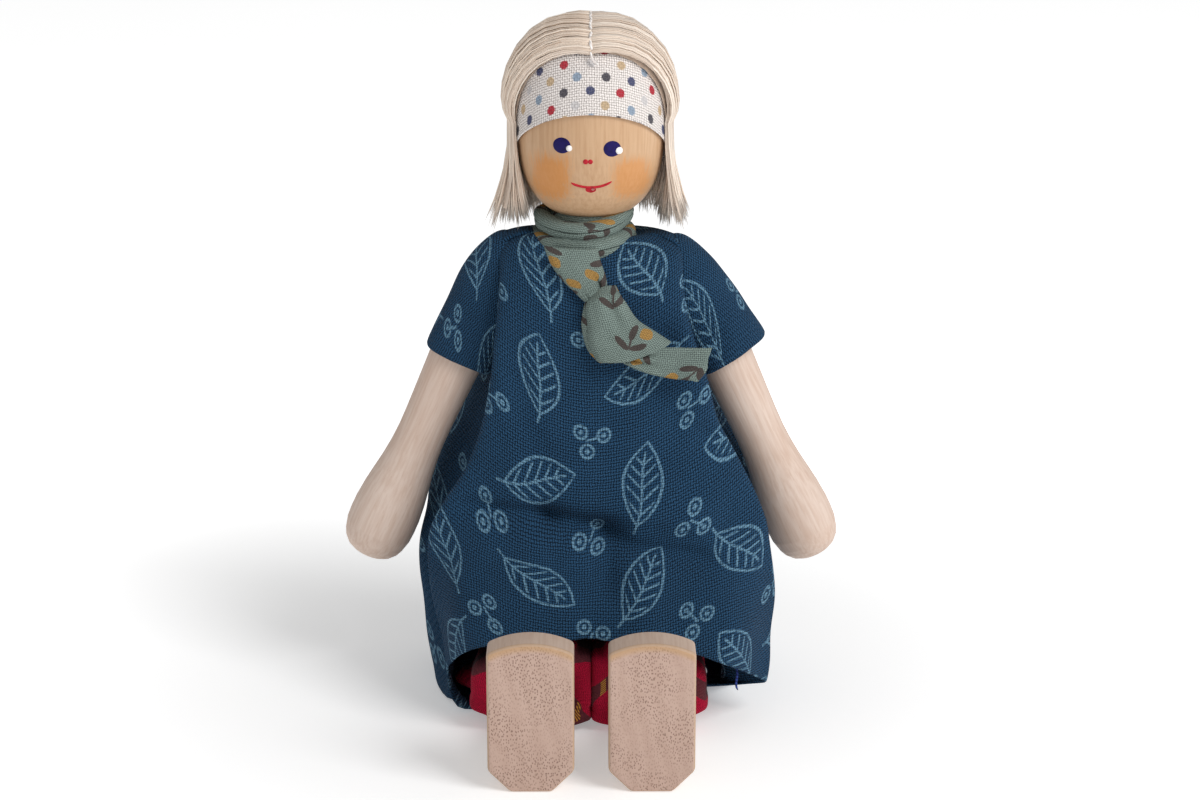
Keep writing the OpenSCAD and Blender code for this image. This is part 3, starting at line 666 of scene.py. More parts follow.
leg_finish = leg_wood()
for side, name in ((1, "left"), (-1, "right")):
    shaft = piece("spare_rod", rod(side * HIP.x, side), leg_finish)
    leg = joined(piece(name + "_wooden_leg", foot(side * HIP.x), leg_finish), shaft)
    leg.data.set_sharp_from_angle(angle=math.radians(40))
    weighted = leg.modifiers.new("even_shading", "WEIGHTED_NORMAL")
    weighted.keep_sharp = True
    settle(leg, name + "_leg", "pale_wood", name + "_leg")

# %% [markdown]
# ## Weave
# Every cotton here is a plain weave: one thread over, one under. The formula takes the distance across and
# down the cloth, gives each thread a round back, and a checkerboard says which thread lies on top. The
# cottons
# also colour their cloth by this height: darker in the gaps between threads, which is painted shade, and
# paler on the thread tops, which is a painted highlight.

# %% A plain weave for any cotton


def weave(finish, across, down, pitch):
    """Height from 0 to 1 of a plain weave with the given thread spacing in millimetres."""
    wander = finish.clouds(finish.vector(across, down), 0.6, 2.0) * 0.5
    warp = (across + wander) / pitch[0]
    weft = (down + wander) / pitch[1]
    on_top = (warp.floor() + weft.floor()) % 2
    warp_back = abs((warp * math.pi).sine())
    weft_back = abs((weft * math.pi).sine())
    return on_top * warp_back + (1 - on_top) * weft_back


def cotton(name):
    finish = Finish(name, specular_IOR_level=0.1, sheen_weight=0.02, sheen_roughness=0.5)
    across, down = finish.on_cloth()
    return finish, across, down


# %% [markdown]
# ## The dotted headband
# The headband is a strip of white cotton with small dots in several colours. The dots stand in staggered
# rows. Each shifts a little by chance, and takes its colour from a list by its column and row.

# %% White cotton with coloured dots
DOT_STEP = (4.6, 4.5)
DOT_R = 0.78
DOT_PITCH = (0.4, 0.42)
DOT_COLOURS = [
    paint(178, 32, 52), paint(68, 74, 108), paint(74, 72, 80), paint(142, 160, 180), paint(198, 172, 138),
    paint(206, 202, 202),
]


def dotted_cotton():
    finish, across, down = cotton("dotted_cotton")
    threads = weave(finish, across, down, DOT_PITCH)
    # The weave's height sets the colour: greyer in the gaps between threads as painted shade, whiter on the
    # thread tops as painted highlight.
    colour = finish.mix(paint(164, 153, 147), paint(242, 235, 231), threads.fade(0.1, 0.75))
    for shift in ((0.0, 0.0), (0.46, 0.5)):
        col = across / DOT_STEP[0] + shift[0]
        row = down / DOT_STEP[1] + shift[1]
        cell = finish.vector(col.floor() + shift[0] * 7, row.floor())
        x = (col % 1 - 0.5) * DOT_STEP[0] + (finish.chance(cell) - 0.5) * 0.5
        y = (row % 1 - 0.5) * DOT_STEP[1]
        reach = (x * x + y * y).root() + (threads - 0.5) * 0.16
        dot = reach.fade(DOT_R + 0.1, DOT_R - 0.12)
        pick = (col.floor() * 5 + row.floor() * 2 + shift[1] * 6) % len(DOT_COLOURS) + 0.5
        dye = DOT_COLOURS[0]
        for k, other in enumerate(DOT_COLOURS[1:], 1):
            dye = finish.mix(dye, other, pick.fade(k - 0.001, k + 0.001))
        colour = finish.mix(colour, dye, dot * (0.8 + threads * 0.2))
    return finish.show(base_color=colour, roughness=0.9, normal=finish.bump(threads, 0.12, 0.9))


# %% The headband, laid on the head in a tilted plane
BAND = {"width": 12.5, "tilt": math.radians(33), "up": 2.0, "lift": 0.3, "thick": 0.3}
BAND_GRID = (96, 14)


def on_head(origin, ray, grow):
    """How far along a ray from a point inside the head its grown surface lies."""
    near, far = 0.0, 3 * HEAD_HALF
    for _ in range(40):
        mid = (near + far) / 2
        p = origin + ray * mid - HEAD_MID
        across = math.hypot(p.x, p.y) / (HEAD_R + grow)
        upward = abs(p.z) / (HEAD_HALF + grow)
        inside = across**HEAD_POWER + upward**HEAD_POWER < 1
        near, far = (mid, far) if inside else (near, mid)
    return near


def band_point(u, v):
    tilt = Matrix.Rotation(-BAND["tilt"], 3, "X")
    turn = 2 * math.pi * (u - 0.5)
    height = lerp(BAND["width"] / 2, -BAND["width"] / 2, v)
    origin = HEAD_MID + Vector((0, 0, BAND["up"])) + tilt @ Vector((0, 0, height))
    ray = tilt @ Vector((math.sin(turn), -math.cos(turn), 0))
    hem = 0.22 * ease((abs(v - 0.5) - 0.4) / 0.08)
    ripple = 0.08 * noise.noise(Vector((math.sin(turn) * 4, math.cos(turn) * 4, v * 3)))
    return origin + ray * on_head(origin, ray, BAND["lift"] + hem + ripple)


band_mesh = cloth(*BAND_GRID, band_point, rolled=True)
band = soften(piece("dotted_headband", band_mesh, dotted_cotton()), BAND["thick"])
settle(band, "head", "dotted_cotton", "headband")

# %% [markdown]
# ## Hair of fine floss
# The hair is a skein of floss, sewn down along a parting and left to hang, with ragged ends. Blender has hair
# particles, but those don't ride on a body or export as a mesh. So each lock is a fan of threads from the
# parting to its end, over a thin cap that closes the gaps. Threads of a lock share a place and come together
# at the ends.

# %% The colour of the floss


def floss_finish():
    finish = Finish("hair_floss", specular_IOR_level=0.3, sheen_weight=0.15, sheen_roughness=0.4)
    tone = finish.add("Attribute", {"attribute_name": "tone"}, out="Fac")
    spot = finish.where()
    grit = finish.clouds(spot, 2.4, 3.0)
    share = tone * 0.8 + grit * 0.25
    colour = finish.mix(paint(204, 180, 160), paint(255, 241, 226), share)
    return finish.show(base_color=colour, roughness=0.62 + grit * 0.1, normal=finish.bump(grit, 0.08, 0.5))


# %% Where a thread of hair runs
PARTING = (-40, 62)
TEMPLE = 70
BOW = (0.04, 0.115, 0.05)
HAIR_END = TORSO_TOP + 4
HAIR_FLARE = 2.9
LOCKS = 36
THREADS = 21
THREAD_R = 0.18
HEAD_STEPS = 10
HANG_STEPS = 4


def hair_way(u, v):
    """Direction from the middle of the head: u from the parting to the side, v from front to back."""
    p = math.radians(lerp(*PARTING, v))
    f = math.radians(lerp(TEMPLE, 180, v))
    start = Vector((0, math.sin(p), math.cos(p)))
    side = Vector((math.sin(f), -math.cos(f), 0.02))
    bow = Vector(BOW) * (4 * u * (1 - u) * (1 - v) ** 2)
    return (start.lerp(side, u) + bow).normalized()


def hair_point(u, v, lift):
    way = hair_way(u, v)
    return HEAD_MID + way * on_head(HEAD_MID, way, lift)


def hair_path(root, tip, lift, end, flare, side):
    """A thread from just across the parting, over the head and down to its end."""
    start = hair_point(0, root, lift * 0.7)
    path = [Vector((-0.5, start.y, start.z))]
    front = 1 - ease((tip - 0.2) / 0.35)
    fullness = [(0, 0.9), (0.2, 1), (0.65, 1 + 0.3 * front), (0.85, 1 + 0.2 * front), (1, 1 - 0.3 * front)]
    for k in range(HEAD_STEPS + 1):
        u = k / HEAD_STEPS
        path.append(hair_point(u, lerp(root, tip, u * u), lift * along(fullness, u)))
    top = path[-1]
    out = Vector((top.x, top.y, 0)).normalized()
    for k in range(1, HANG_STEPS + 1):
        t = k / HANG_STEPS
        path.append(top + out * flare * t * t + Vector((0, 0, (end - top.z) * t)))
    return [Vector((side * p.x, p.y, p.z)) for p in path]


# %% Two halves of hair
HAIR_CAP = (14, 18)
CAP_LIFT = (1.1, 0.75)
CAP_TONE = 0.35
LOCK_LIFT = (1.35, 1.75)
LOCK_END = (-1.0, 0.9)
LOCK_FLARE = (-0.8, 1.15)


def cap_point(u, v, side):
    """The thin layer under the threads: v from the parting down, u from front to back."""
    if v <= 0.5:
        p = hair_point(v * 2, u, lerp(*CAP_LIFT, ease(v * 6)))
    else:
        top = hair_point(1, u, CAP_LIFT[1])
        out = Vector((top.x, top.y, 0)).normalized()
        t = (v - 0.5) * 2 * 0.86
        p = top + out * HAIR_FLARE * 0.8 * t * t + Vector((0, 0, (HAIR_END - top.z) * t))
    return Vector((side * p.x, p.y, p.z))


def hair_half(side, seed):
    pick = random.Random(seed)
    mesh = bmesh.new()
    layer = mesh.verts.layers.float.new("tone")
    cap = lay_grid(mesh, *HAIR_CAP, lambda u, v: cap_point(u, v, side))
    for vert in cap.values():
        vert[layer] = CAP_TONE
    for lock in range(LOCKS):
        v = (lock + 0.5) / LOCKS
        lock_lift = pick.uniform(*LOCK_LIFT)
        lock_tip = v + pick.gauss(0, 0.008)
        lock_end = HAIR_END + pick.uniform(*LOCK_END)
        lock_flare = HAIR_FLARE * pick.uniform(*LOCK_FLARE)
        for _ in range(THREADS):
            root = min(1.0, max(0.0, v + pick.gauss(0, 0.03)))
            tip = min(1.0, max(0.0, lock_tip + pick.gauss(0, 0.02)))
            lift = lock_lift + pick.uniform(-0.5, 0.3)
            end = lock_end + pick.gauss(0, 0.7)
            path = hair_path(root, tip, lift, end, lock_flare + pick.gauss(0, 0.5), side)
            wide = THREAD_R * pick.uniform(0.75, 1.2)
            thread(mesh, path, wide, from_head, sides=3, layer=layer, tone=pick.uniform(0.2, 1))
    bmesh.ops.remove_doubles(mesh, verts=mesh.verts, dist=0.0005)
    bmesh.ops.recalc_face_normals(mesh, faces=mesh.faces)
    return mesh


floss = floss_finish()
for side, name, seed in ((1, "left", 5), (-1, "right", 8)):
    hair = piece(name + "_floss_hair", hair_half(side, seed), floss)
    settle(hair, "head", "hair_floss", "hair_" + name)

# %% [markdown]
# ## The sewn parting
# A white thread sews the skein to the head along the parting. It shows as a line of short back stitches,
# each a small loop over the hair that dips at both ends, and a tail that curls on the headband.

# %% White stitches along the parting
STITCH_R = 0.26
STITCH_STEP = 6.0
STITCH_LIFT = 1.45
STITCH_LEAN = 0.12
TAIL = [
    (0, 0.6, 0.4), (0, 0, 0.1), (0.1, -0.45, -0.9), (0.5, -0.75, -1.6), (1.1, -0.9, -1.9), (1.6, -0.85, -1.8),
]
TAIL_R = 0.2


def white_thread():
    finish = Finish("white_thread", specular_IOR_level=0.3)
    x, y, z = finish.where().parts()
    twist = ((y * 1.4 + z * 1.4 + x * 3) * 3.1).sine() * 0.5 + 0.5
    colour = finish.mix(paint(226, 216, 210), paint(252, 248, 245), twist)
    return finish.show(base_color=colour, roughness=0.75 + twist * 0.1, normal=finish.bump(twist, 0.12, 0.7))


def parting_point(angle, lift):
    way = Vector((0, math.sin(math.radians(angle)), math.cos(math.radians(angle))))
    return HEAD_MID + way * on_head(HEAD_MID, way, lift)


stitches = bmesh.new()
stops = int((PARTING[1] - PARTING[0]) / STITCH_STEP)
for k in range(stops):
    start = PARTING[0] + k * STITCH_STEP
    slant = STITCH_LEAN if k % 2 else -STITCH_LEAN
    loop = []
    for i in range(9):
        t = i / 8
        p = parting_point(start + STITCH_STEP * 1.25 * t, STITCH_LIFT + 0.3 * math.sin(math.pi * t))
        loop.append(p + Vector((slant * (t - 0.5) * 2, 0, 0)))
    thread(stitches, loop, STITCH_R, from_head, sides=8)
front = parting_point(PARTING[0], STITCH_LIFT)
tail = [front + Vector(step) for step in TAIL]
thread(stitches, tail, TAIL_R, from_head, sides=8)
sewn = soften(piece("parting_stitches", close_up(stitches), white_thread()))
settle(sewn, "head", "white_thread", "parting_stitch")

# %% [markdown]
# ## The knotted scarf
# A narrow strip of sage cotton goes twice round the neck, over one more roll under the chin, and ends in a
# simple knot. The turns are soft rolls, kept just below the head. Each other stretch is a sheet between two
# given edges: its belly swells between them, and the folds at its rim are rolled over.

# %% Sage cotton with brown leaves and ochre blossoms
SPRIG_STEP = (9.0, 8.0)
SPRIG = [((-1.2, 1.0), 0.7), ((1.3, 0.9), -0.6), ((0.1, -1.6), 1.7)]
BLOSSOM = (2.2, -1.8)
SPRIG_PITCH = (0.33, 0.33)


def sprig_cotton():
    finish, across, down = cotton("scarf_cotton")
    threads = weave(finish, across, down, SPRIG_PITCH)
    cloudy = finish.clouds(finish.vector(across, down), 0.3, 2.0)
    # Darker in the gaps between threads and paler on their tops, which is painted shade and painted
    # highlight, with a cloudy tone of the cloth's own.
    tone = threads.fade(0.1, 0.95) * 0.8 + cloudy * 0.25
    colour = finish.mix(paint(54, 68, 64), paint(140, 156, 149), tone)
    col, row = across / SPRIG_STEP[0], down / SPRIG_STEP[1]
    row = row + (col.floor() % 2) * 0.5
    luck = finish.chance(finish.vector(col.floor() * 3 + 2, row.floor() * 5 + 1))
    turn = luck * 6.3
    x, y = (col % 1 - 0.5) * SPRIG_STEP[0], (row % 1 - 0.5) * SPRIG_STEP[1]
    p = x * turn.cosine() + y * turn.sine()
    q = y * turn.cosine() - x * turn.sine()
    leaves = abs(p).fade(0.22, 0.1) * abs(q).fade(1.9, 1.7)
    for (mid_p, mid_q), lean in SPRIG:
        along_leaf = (p - mid_p) * math.cos(lean) + (q - mid_q) * math.sin(lean)
        over_leaf = (q - mid_q) * math.cos(lean) - (p - mid_p) * math.sin(lean)
        leaves = leaves.most(((along_leaf / 1.6) ** 2 + (over_leaf / 0.6) ** 2).fade(1.0, 0.8))
    petals = (abs(p - BLOSSOM[0]) ** 3 + abs(q - BLOSSOM[1]) ** 3).fade(1.2, 0.9)
    fibre = 0.55 + threads * 0.4
    colour = finish.mix(colour, paint(72, 56, 54), leaves * fibre)
    colour = finish.mix(colour, paint(176, 132, 62), petals * fibre)
    return finish.show(base_color=colour, roughness=0.9, normal=finish.bump(threads, 0.12, 0.9))


# %% Turns round the neck, the strip, the flap and the loose end
NECK_TURNS = [
    {"z": 78.0, "r": 7.3, "shift": -1.3, "dip": 0.9, "front": 1.0, "thick": 1.5, "high": 1.7, "lean": 0.3},
    {"z": 81.6, "r": 6.9, "shift": -1.2, "dip": 1.6, "front": 0.7, "thick": 1.3, "high": 1.45, "lean": 0.4},
    {"z": 81.4, "r": 4.9, "shift": -0.2, "dip": 0.5, "front": 0.2, "thick": 1.5, "high": 1.5, "lean": 0.0},
]
HEAD_GAP = 0.2
TURN_GRID = (72, 16)
SCARF_THICK = 0.4


def under_head(x, y):
    """Height of the head's underside above a place near the neck."""
    share = min(1.0, math.hypot(x, y) / HEAD_R)
    return HEAD_MID.z - HEAD_HALF * (1 - share**HEAD_POWER) ** (1 / HEAD_POWER)


def turn_point(turn, u, v):
    """A soft flattened roll round the neck: u round the neck, v round the roll."""
    a = 2 * math.pi * u
    b = 2 * math.pi * v
    front = max(0.0, math.cos(a)) ** 2
    r = turn["r"] + turn["front"] * front
    crease = 0.22 * noise.noise(Vector((math.sin(a) * 2.5, math.cos(a) * 2.5, turn["z"] + v * 5)))
    thick, high = turn["thick"] + crease, turn["high"] + crease
    out = r + thick * bent(math.cos(b), 0.8)
    up = turn["z"] - turn["dip"] * front + turn["lean"] * math.sin(a) + high * bent(math.sin(b), 0.8)
    x, y = turn["shift"] + out * math.sin(a), -out * math.cos(a)
    return Vector((x, y, min(up, under_head(x, y) - HEAD_GAP)))


def patch_between(left, right, depth, belly, roll, hood=0.0, sag=(0.0, 0.0), tucks=()):
    """A sheet between two edges given as (x, z) points, at a depth from top to bottom, with a swollen middle.

    A hood turns the top back to what it comes from, sag lowers the top and the bottom between the edges, and
    each tuck is a crease along the sheet: its place across, its start down, its depth and its width.
    """
    keys_left = [k / (len(left) - 1) for k in range(len(left))]
    keys_right = [k / (len(right) - 1) for k in range(len(right))]

    def place(u, v):
        a = along_points(keys_left, left, v)
        b = along_points(keys_right, right, v)
        spot = a.lerp(b, u)
        arch = math.sin(math.pi * u)
        rim = max(0.0, abs(u - 0.5) - 0.38) / 0.12
        fold = 0.25 * noise.noise(Vector((u * 4, v * 3, left[0][0])))
        y = lerp(*depth, v) - belly * arch**0.6 + roll * rim * rim + fold
        y += hood * (1 - ease(v / 0.14))
        for mid, start, deep, wide in tucks:
            y += deep * math.exp(-(((u - mid) / wide) ** 2)) * ease((v - start) * 4)
        return Vector((spot.x, y, spot.y - lerp(*sag, v) * arch))

    return place


STRIP = patch_between(
    [(-7.7, 78.3), (-6.7, 75.6), (-5.0, 73.1), (-3.0, 71.2), (-1.0, 69.4)],
    [(1.0, 77.8), (1.6, 75.6), (2.3, 73.6), (2.6, 72.0), (2.4, 70.2)],
    (-10.4, -12.4), 0.9, 0.7, tucks=((0.8, 0.45, 1.2, 0.07), (0.3, 0.7, 0.5, 0.08)),
)
FLAP = patch_between(
    [(0.0, 70.4), (-0.8, 68.8), (-0.5, 65.6), (-0.3, 62.8), (0.9, 60.0)],
    [(3.9, 71.8), (5.7, 69.4), (7.5, 66.8), (10.3, 65.0), (13.2, 63.2)],
    (-13.7, -15.6), 1.2, 0.8, hood=2.6, sag=(-0.8, 1.0), tucks=((0.62, 0.0, 0.5, 0.12),),
)
UNDER_FLAP = patch_between(
    [(-0.9, 69.4), (-1.4, 67.2), (-1.5, 65.0), (-0.6, 61.6), (1.4, 59.4)],
    [(3.0, 69.0), (4.4, 66.6), (6.0, 64.2), (8.0, 62.0), (10.5, 60.4)],
    (-12.6, -14.2), 0.5, 0.5,
)
LOOSE_END = patch_between(
    [(5.6, 62.4), (5.8, 61.6), (5.6, 60.6), (5.2, 59.8)],
    [(19.7, 62.7), (19.1, 60.7), (18.8, 59.0), (17.4, 56.9)],
    (-14.8, -15.1), 0.5, 0.1,
)


LOOSE_LIFT = 1.8
LOOSE_SAG = 0.72


def loose_point(u, v):
    """The loose end: gathered where it leaves the knot, and lifted towards its frayed tip."""
    p = LOOSE_END(u, v)
    gather = 0.45 * math.sin(v * 5 * math.pi) * (1 - ease((u - 0.1) / 0.45))
    fray = 0.25 * noise.noise(Vector((3.3, v * 24, 1.7))) * ease((u - 0.93) / 0.07)
    bottom = LOOSE_SAG * v * math.sin(math.pi * min(1.0, u / 0.9))
    return p + Vector((fray, -LOOSE_LIFT * u * u - gather, -bottom))


PATCHES = [(STRIP, 24, 20), (FLAP, 28, 30), (UNDER_FLAP, 16, 22), (loose_point, 30, 14)]

scarf_mesh = bmesh.new()
for turn in NECK_TURNS:
    spots = lay_grid(scarf_mesh, *TURN_GRID, lambda u, v, turn=turn: turn_point(turn, u, v))
    measure_cloth(scarf_mesh, spots, *TURN_GRID, (turn["z"] * 2, 0))
close_up(scarf_mesh)
for number, (place, cols, rows) in enumerate(PATCHES):
    spots = lay_grid(scarf_mesh, cols, rows, place)
    measure_cloth(scarf_mesh, spots, cols, rows, (number * 21, number * 9))
scarf = soften(piece("knotted_scarf", scarf_mesh, sprig_cotton()), SCARF_THICK)
settle(scarf, "torso", "scarf_cotton", "scarf_wrap", "scarf_drop", "scarf_knot", "scarf_tail")

# %% [markdown]
# ## The dress
# The dress is a loose shift in indigo cotton with a pale line print. It hangs from the shoulders, the front
# panel turns back at its sides into a deep fold, and the skirt runs over the lap to a wavy hem, which turns
# in along the floor at the sides. A cloth simulation could find folds, but not these ones. So the dress is
# drawn as rings at each height, through a few points that stand for real places on it: middle, edge, fold,
# side and back.

# %% Indigo cotton with a drawn leaf print
PRINT_CELL = 17.0
LEAF = (6.4, 3.3)
STALK = 1.7
BERRIES = [(-1.6, 1.3), (1.7, 1.2), (0.1, -2.2)]
LINE = 0.27
DRESS_PITCH = (0.44, 0.5)


def leaf_lines(p, q, size):
    """Lines of a leaf along p: outline, midrib with its stalk, and side veins."""
    reach = 1 - (p / size[0]) ** 2
    half = reach * size[1]
    gap = abs(q) - half
    body = p.fade(-size[0] - 0.3, -size[0]) * p.fade(size[0] + 0.3, size[0])
    outline = abs(gap).fade(LINE * 1.25, LINE * 0.5) * body
    stalk = p.fade(-size[0] - STALK, -size[0] - STALK + 0.2)
    rib = abs(q).fade(LINE, LINE * 0.4) * stalk * p.fade(size[0] * 0.8, size[0] * 0.7)
    slant = ((p - abs(q) * 0.9) / 1.9) % 1
    veins = abs(slant - 0.5).fade(0.17, 0.08) * gap.fade(-0.45, -0.8)
    veins = veins * p.fade(size[0] * 0.75, size[0] * 0.6) * body
    return outline.most(rib).most(veins)


def scattered(finish, across, down, shift):
    """A place inside the pattern's own cell, turned by chance; shift moves the cells by a share of one."""
    col = across / PRINT_CELL + shift
    row = down / PRINT_CELL + shift
    luck = finish.chance(finish.vector(col.floor() + 31, row.floor() * 7 + shift))
    turn = luck * 6.28
    x, y = (col % 1 - 0.5) * PRINT_CELL, (row % 1 - 0.5) * PRINT_CELL
    return x * turn.cosine() + y * turn.sine(), y * turn.cosine() - x * turn.sine()


def berry_lines(p, q):
    """Three ringed berries on short stems."""
    lines = abs(p).fade(LINE, LINE * 0.4) * abs(q + 0.4).fade(1.4, 1.2)
    for mid_p, mid_q in BERRIES:
        reach = ((p - mid_p) ** 2 + (q - mid_q) ** 2).root()
        lines = lines.most(abs(reach - 1.05).fade(LINE * 1.2, LINE * 0.5)).most(reach.fade(0.5, 0.35))
    return lines


def dress_cotton():
    finish, across, down = cotton("dress_cotton")
    threads = weave(finish, across, down, DRESS_PITCH)
    plane = finish.vector(across, down)
    cloudy = finish.clouds(plane, 0.12, 3.0)
    slub = finish.clouds(finish.vector(across * 0.2, down * 3), 1.0, 2.0)
    # The weave's height darkens the gaps between threads as painted shade and lightens the thread tops as
    # painted highlight; the clouds and slubs are the cloth's own uneven tone.
    tone = threads.fade(0.3, 0.95) * 0.86 + cloudy.fade(0.3, 0.7) * 0.08 + slub * 0.1
    colour = finish.mix(paint(0, 6, 16), paint(42, 78, 110), tone)
    shaky = (finish.clouds(plane, 0.9, 2.0) - 0.5) * 0.4
    p, q = scattered(finish, across, down, 0.0)
    lines = leaf_lines(p, q + (p * 0.3).sine() * 0.7 + shaky, LEAF)
    p, q = scattered(finish, across, down, 0.5)
    lines = lines.most(berry_lines(p + shaky, q))
    chalk = finish.clouds(plane, 1.1, 3.0).fade(0.2, 0.5) * (0.15 + threads * 0.8)
    colour = finish.mix(colour, paint(118, 160, 186), lines * chalk * 0.85)
    return finish.show(base_color=colour, roughness=0.88, normal=finish.bump(threads, 0.16, 0.9))


# %% Measured lines of the dress, each a table of height and place
BODICE_TOP = TORSO_TOP + 1.6
EDGE_X = {
    -1: [
        (0, 23.0), (9, 24.0), (17, 26.0), (24, 26.8), (31, 26.6), (36, 23.9), (40, 21.0), (48, 18.0),
        (56, 16.4), (61, 15.9), (66, 15.4), (73, 14.9), (79, 15.0),
    ],
    1: [
        (0, 28.2), (5, 29.0), (11, 29.8), (17, 30.6), (21, 30.6), (31, 29.4), (37, 27.2), (43, 24.0),
        (49, 20.9), (56, 19.0), (64, 16.4), (71, 15.1), (79, 15.0),
    ],
}
EDGE_Y = [
    (0, -19), (8, -20), (17, -17.5), (23, -15.5), (31, -14.2), (40, -13), (50, -11.8), (60, -10.4),
    (68, -9.2), (73, -7.6), (76.5, -5), (79, -3),
]
FRONT_Y = [
    (16, -31.2), (19, -30), (23, -27.4), (27, -23.6), (30, -20.6), (33, -18.6), (40, -16.4), (52, -14),
    (65, -12.2), (73, -10.4), (76.5, -8.8), (79, -7),
]
FOLD_UPPER = [
    (20, 23), (31, 21.5), (40, 18), (48, 15.6), (56, 13.6), (64, 12.9), (72, 13.1), (77.5, 15.4), (80, 15.8),
]
FOLD_X = {
    -1: [(0, 24.8), (6, 24.0), (12, 23.2), *FOLD_UPPER],
    1: [(0, 22), (10, 22.5), *FOLD_UPPER],
}
FOLD_Y = [(0, -13.8), (8, -12), (20, -7), (40, -5), (60, -4.5), (80, -3.6)]
SIDE_X = [
    (0, 26.6), (10, 28.4), (21, 29.3), (31, 28.5), (36, 27.3), (40, 25.5), (44, 23.4), (48, 21.5), (52, 19.5),
    (56, 16.4), (60, 14.4), (64, 13.2), (72, 13.2), (77.5, 15.6), (80, 16),
]
SIDE_Y = [(0, -5), (12, -2), (25, 1), (33, 5), (40, 6.2), (56, 6.2), (66, 3), (79, 1)]
BACK_Y = [(0, 16), (21, 13.6), (50, 10.8), (70, 9.9), (76, 8.6), (79, 7.2)]
HEM_Z = {
    -1: (17.3, 17.0, 15.2, 9.2, 7.6, 0.6, 0.5, 0.45, 0.45),
    1: (17.3, 16.3, 12.2, 6.6, 5.2, 2.6, 1.2, 0.5, 0.45),
}
RING_KEYS = (0.0, 0.07, 0.12, 0.152, 0.168, 0.21, 0.262, 0.37, 0.5)
TUCK = {
    -1: [(0, 0), (0.17, 0), (0.205, 8.5), (0.27, 8.5), (0.36, 6), (0.44, 0), (0.5, 0)],
    1: [(0, 0), (0.17, 0), (0.205, 7), (0.27, 7), (0.36, 5), (0.44, 0), (0.5, 0)],
}
TUCK_ROWS = 0.008
TUCK_AHEAD = 2.6
NECK = (7.0, 6.0)
SHOULDER_SHARE = 0.12
SHOULDER_LINE = {
    -1: [(0, 77.6), (0.35, 79.2), (0.8, 78.6), (1, 77.4)],
    1: [(0, 77.4), (0.35, 78.6), (0.8, 77.9), (1, 76.8)],
}


def half_ring(z, side):
    """Points of one side of the dress at a height, from the middle of the front to the middle of the back."""
    edge, front = along(EDGE_X[side], z), along(FRONT_Y, z)
    edge_y, fold = along(EDGE_Y, z), along(FOLD_X[side], z)
    wide, back = along(SIDE_X, z), along(BACK_Y, z)
    boxy = lerp(0.36, 0.16, ease((32 - z) / 14))
    half = [
        (0, front), (edge * 0.42, lerp(front, edge_y, boxy * 0.25)), (edge * 0.76, lerp(front, edge_y, boxy)),
        (edge * 0.97, edge_y - 0.5), (edge, edge_y + 1.2), (fold, along(FOLD_Y, z)), (wide, along(SIDE_Y, z)),
        (wide * 0.8, back * 0.88), (0, back),
    ]
    return [Vector((side * x, y)) for x, y in half]


def ring_rows(z):
    """Keys and points all the way round, with two spare ones at each end for a smooth join."""
    keys, points = [], []
    for k, p in zip(RING_KEYS, half_ring(z, 1)):
        keys.append(k)
        points.append(p)
    for k, p in list(zip(RING_KEYS, half_ring(z, -1)))[-2:0:-1]:
        keys.append(1 - k)
        points.append(p)
    n = len(keys)
    order = [n - 2, n - 1, *range(n), 0, 1, 2]
    wrap = [-1, -1] + [0] * n + [1, 1, 1]
    return [(keys[i] + w, points[i]) for i, w in zip(order, wrap)]


def ring_point(z, t):
    rows = ring_rows(z)
    keys = [row[0] for row in rows]
    return along_points(keys, [row[1] for row in rows], t)


def hem_height(t):
    side = 1 if t <= 0.5 else -1
    return along(list(zip(RING_KEYS, HEM_Z[side])), t if side > 0 else 1 - t)


# %% Creases and the drape of the lap
CHEST_DROP = 4.4
CREASES = [
    ((-20, 35.4), (-7, 33.8), 2.2, 1.6), ((-7, 33.8), (3, 31.4), 3.2, 2.2), ((2.4, 31), (2.4, 25), 2.4, 2.3),
    ((6, 29.6), (19, 27.6), 2.0, 1.5), ((19, 47), (27, 40), 1.2, 2.0), ((-10, 28), (-10, 20), -1.3, 4.5),
    ((10, 26), (10, 19), -1.3, 4.5), ((0, 22), (0, 17), 1.2, 3.0), ((8, 35), (17, 33.5), -1.4, 2.6),
    ((-17, 31), (-8, 30), -1.3, 2.4), ((-4, 29), (0, 27.6), -1.4, 1.8), ((-13, 62), (-9, 44), 0.8, 2.4),
    ((12, 64), (14, 48), 0.8, 2.4),
]


def line_distance(p, a, b):
    a, b = Vector(a), Vector(b)
    t = min(1.0, max(0.0, (p - a).dot(b - a) / (b - a).length_squared))
    return (p - a.lerp(b, t)).length


def pressed(x, z):
    """How far the front is pushed in by its creases, at a place seen from the front."""
    spot = Vector((x, z))
    return sum(depth * math.exp(-((line_distance(spot, a, b) / wide) ** 2)) for a, b, depth, wide in CREASES)


def tucked(t, d):
    """How much of its drop the cloth has run, and how far it has then turned in along the floor."""
    side, key = (1, t) if t <= 0.5 else (-1, 1 - t)
    tuck = max(0.0, along(TUCK[side], key))
    share = tuck * TUCK_ROWS
    turned = max(0.0, d - 1 + share) / share if share > 0.001 else 0.0
    ahead = TUCK_AHEAD * (1 - ease((key - 0.205) / 0.05)) if side < 0 else 0.0
    return min(1.0, d / (1 - share)), Vector((-side * tuck, -ahead)) * turned


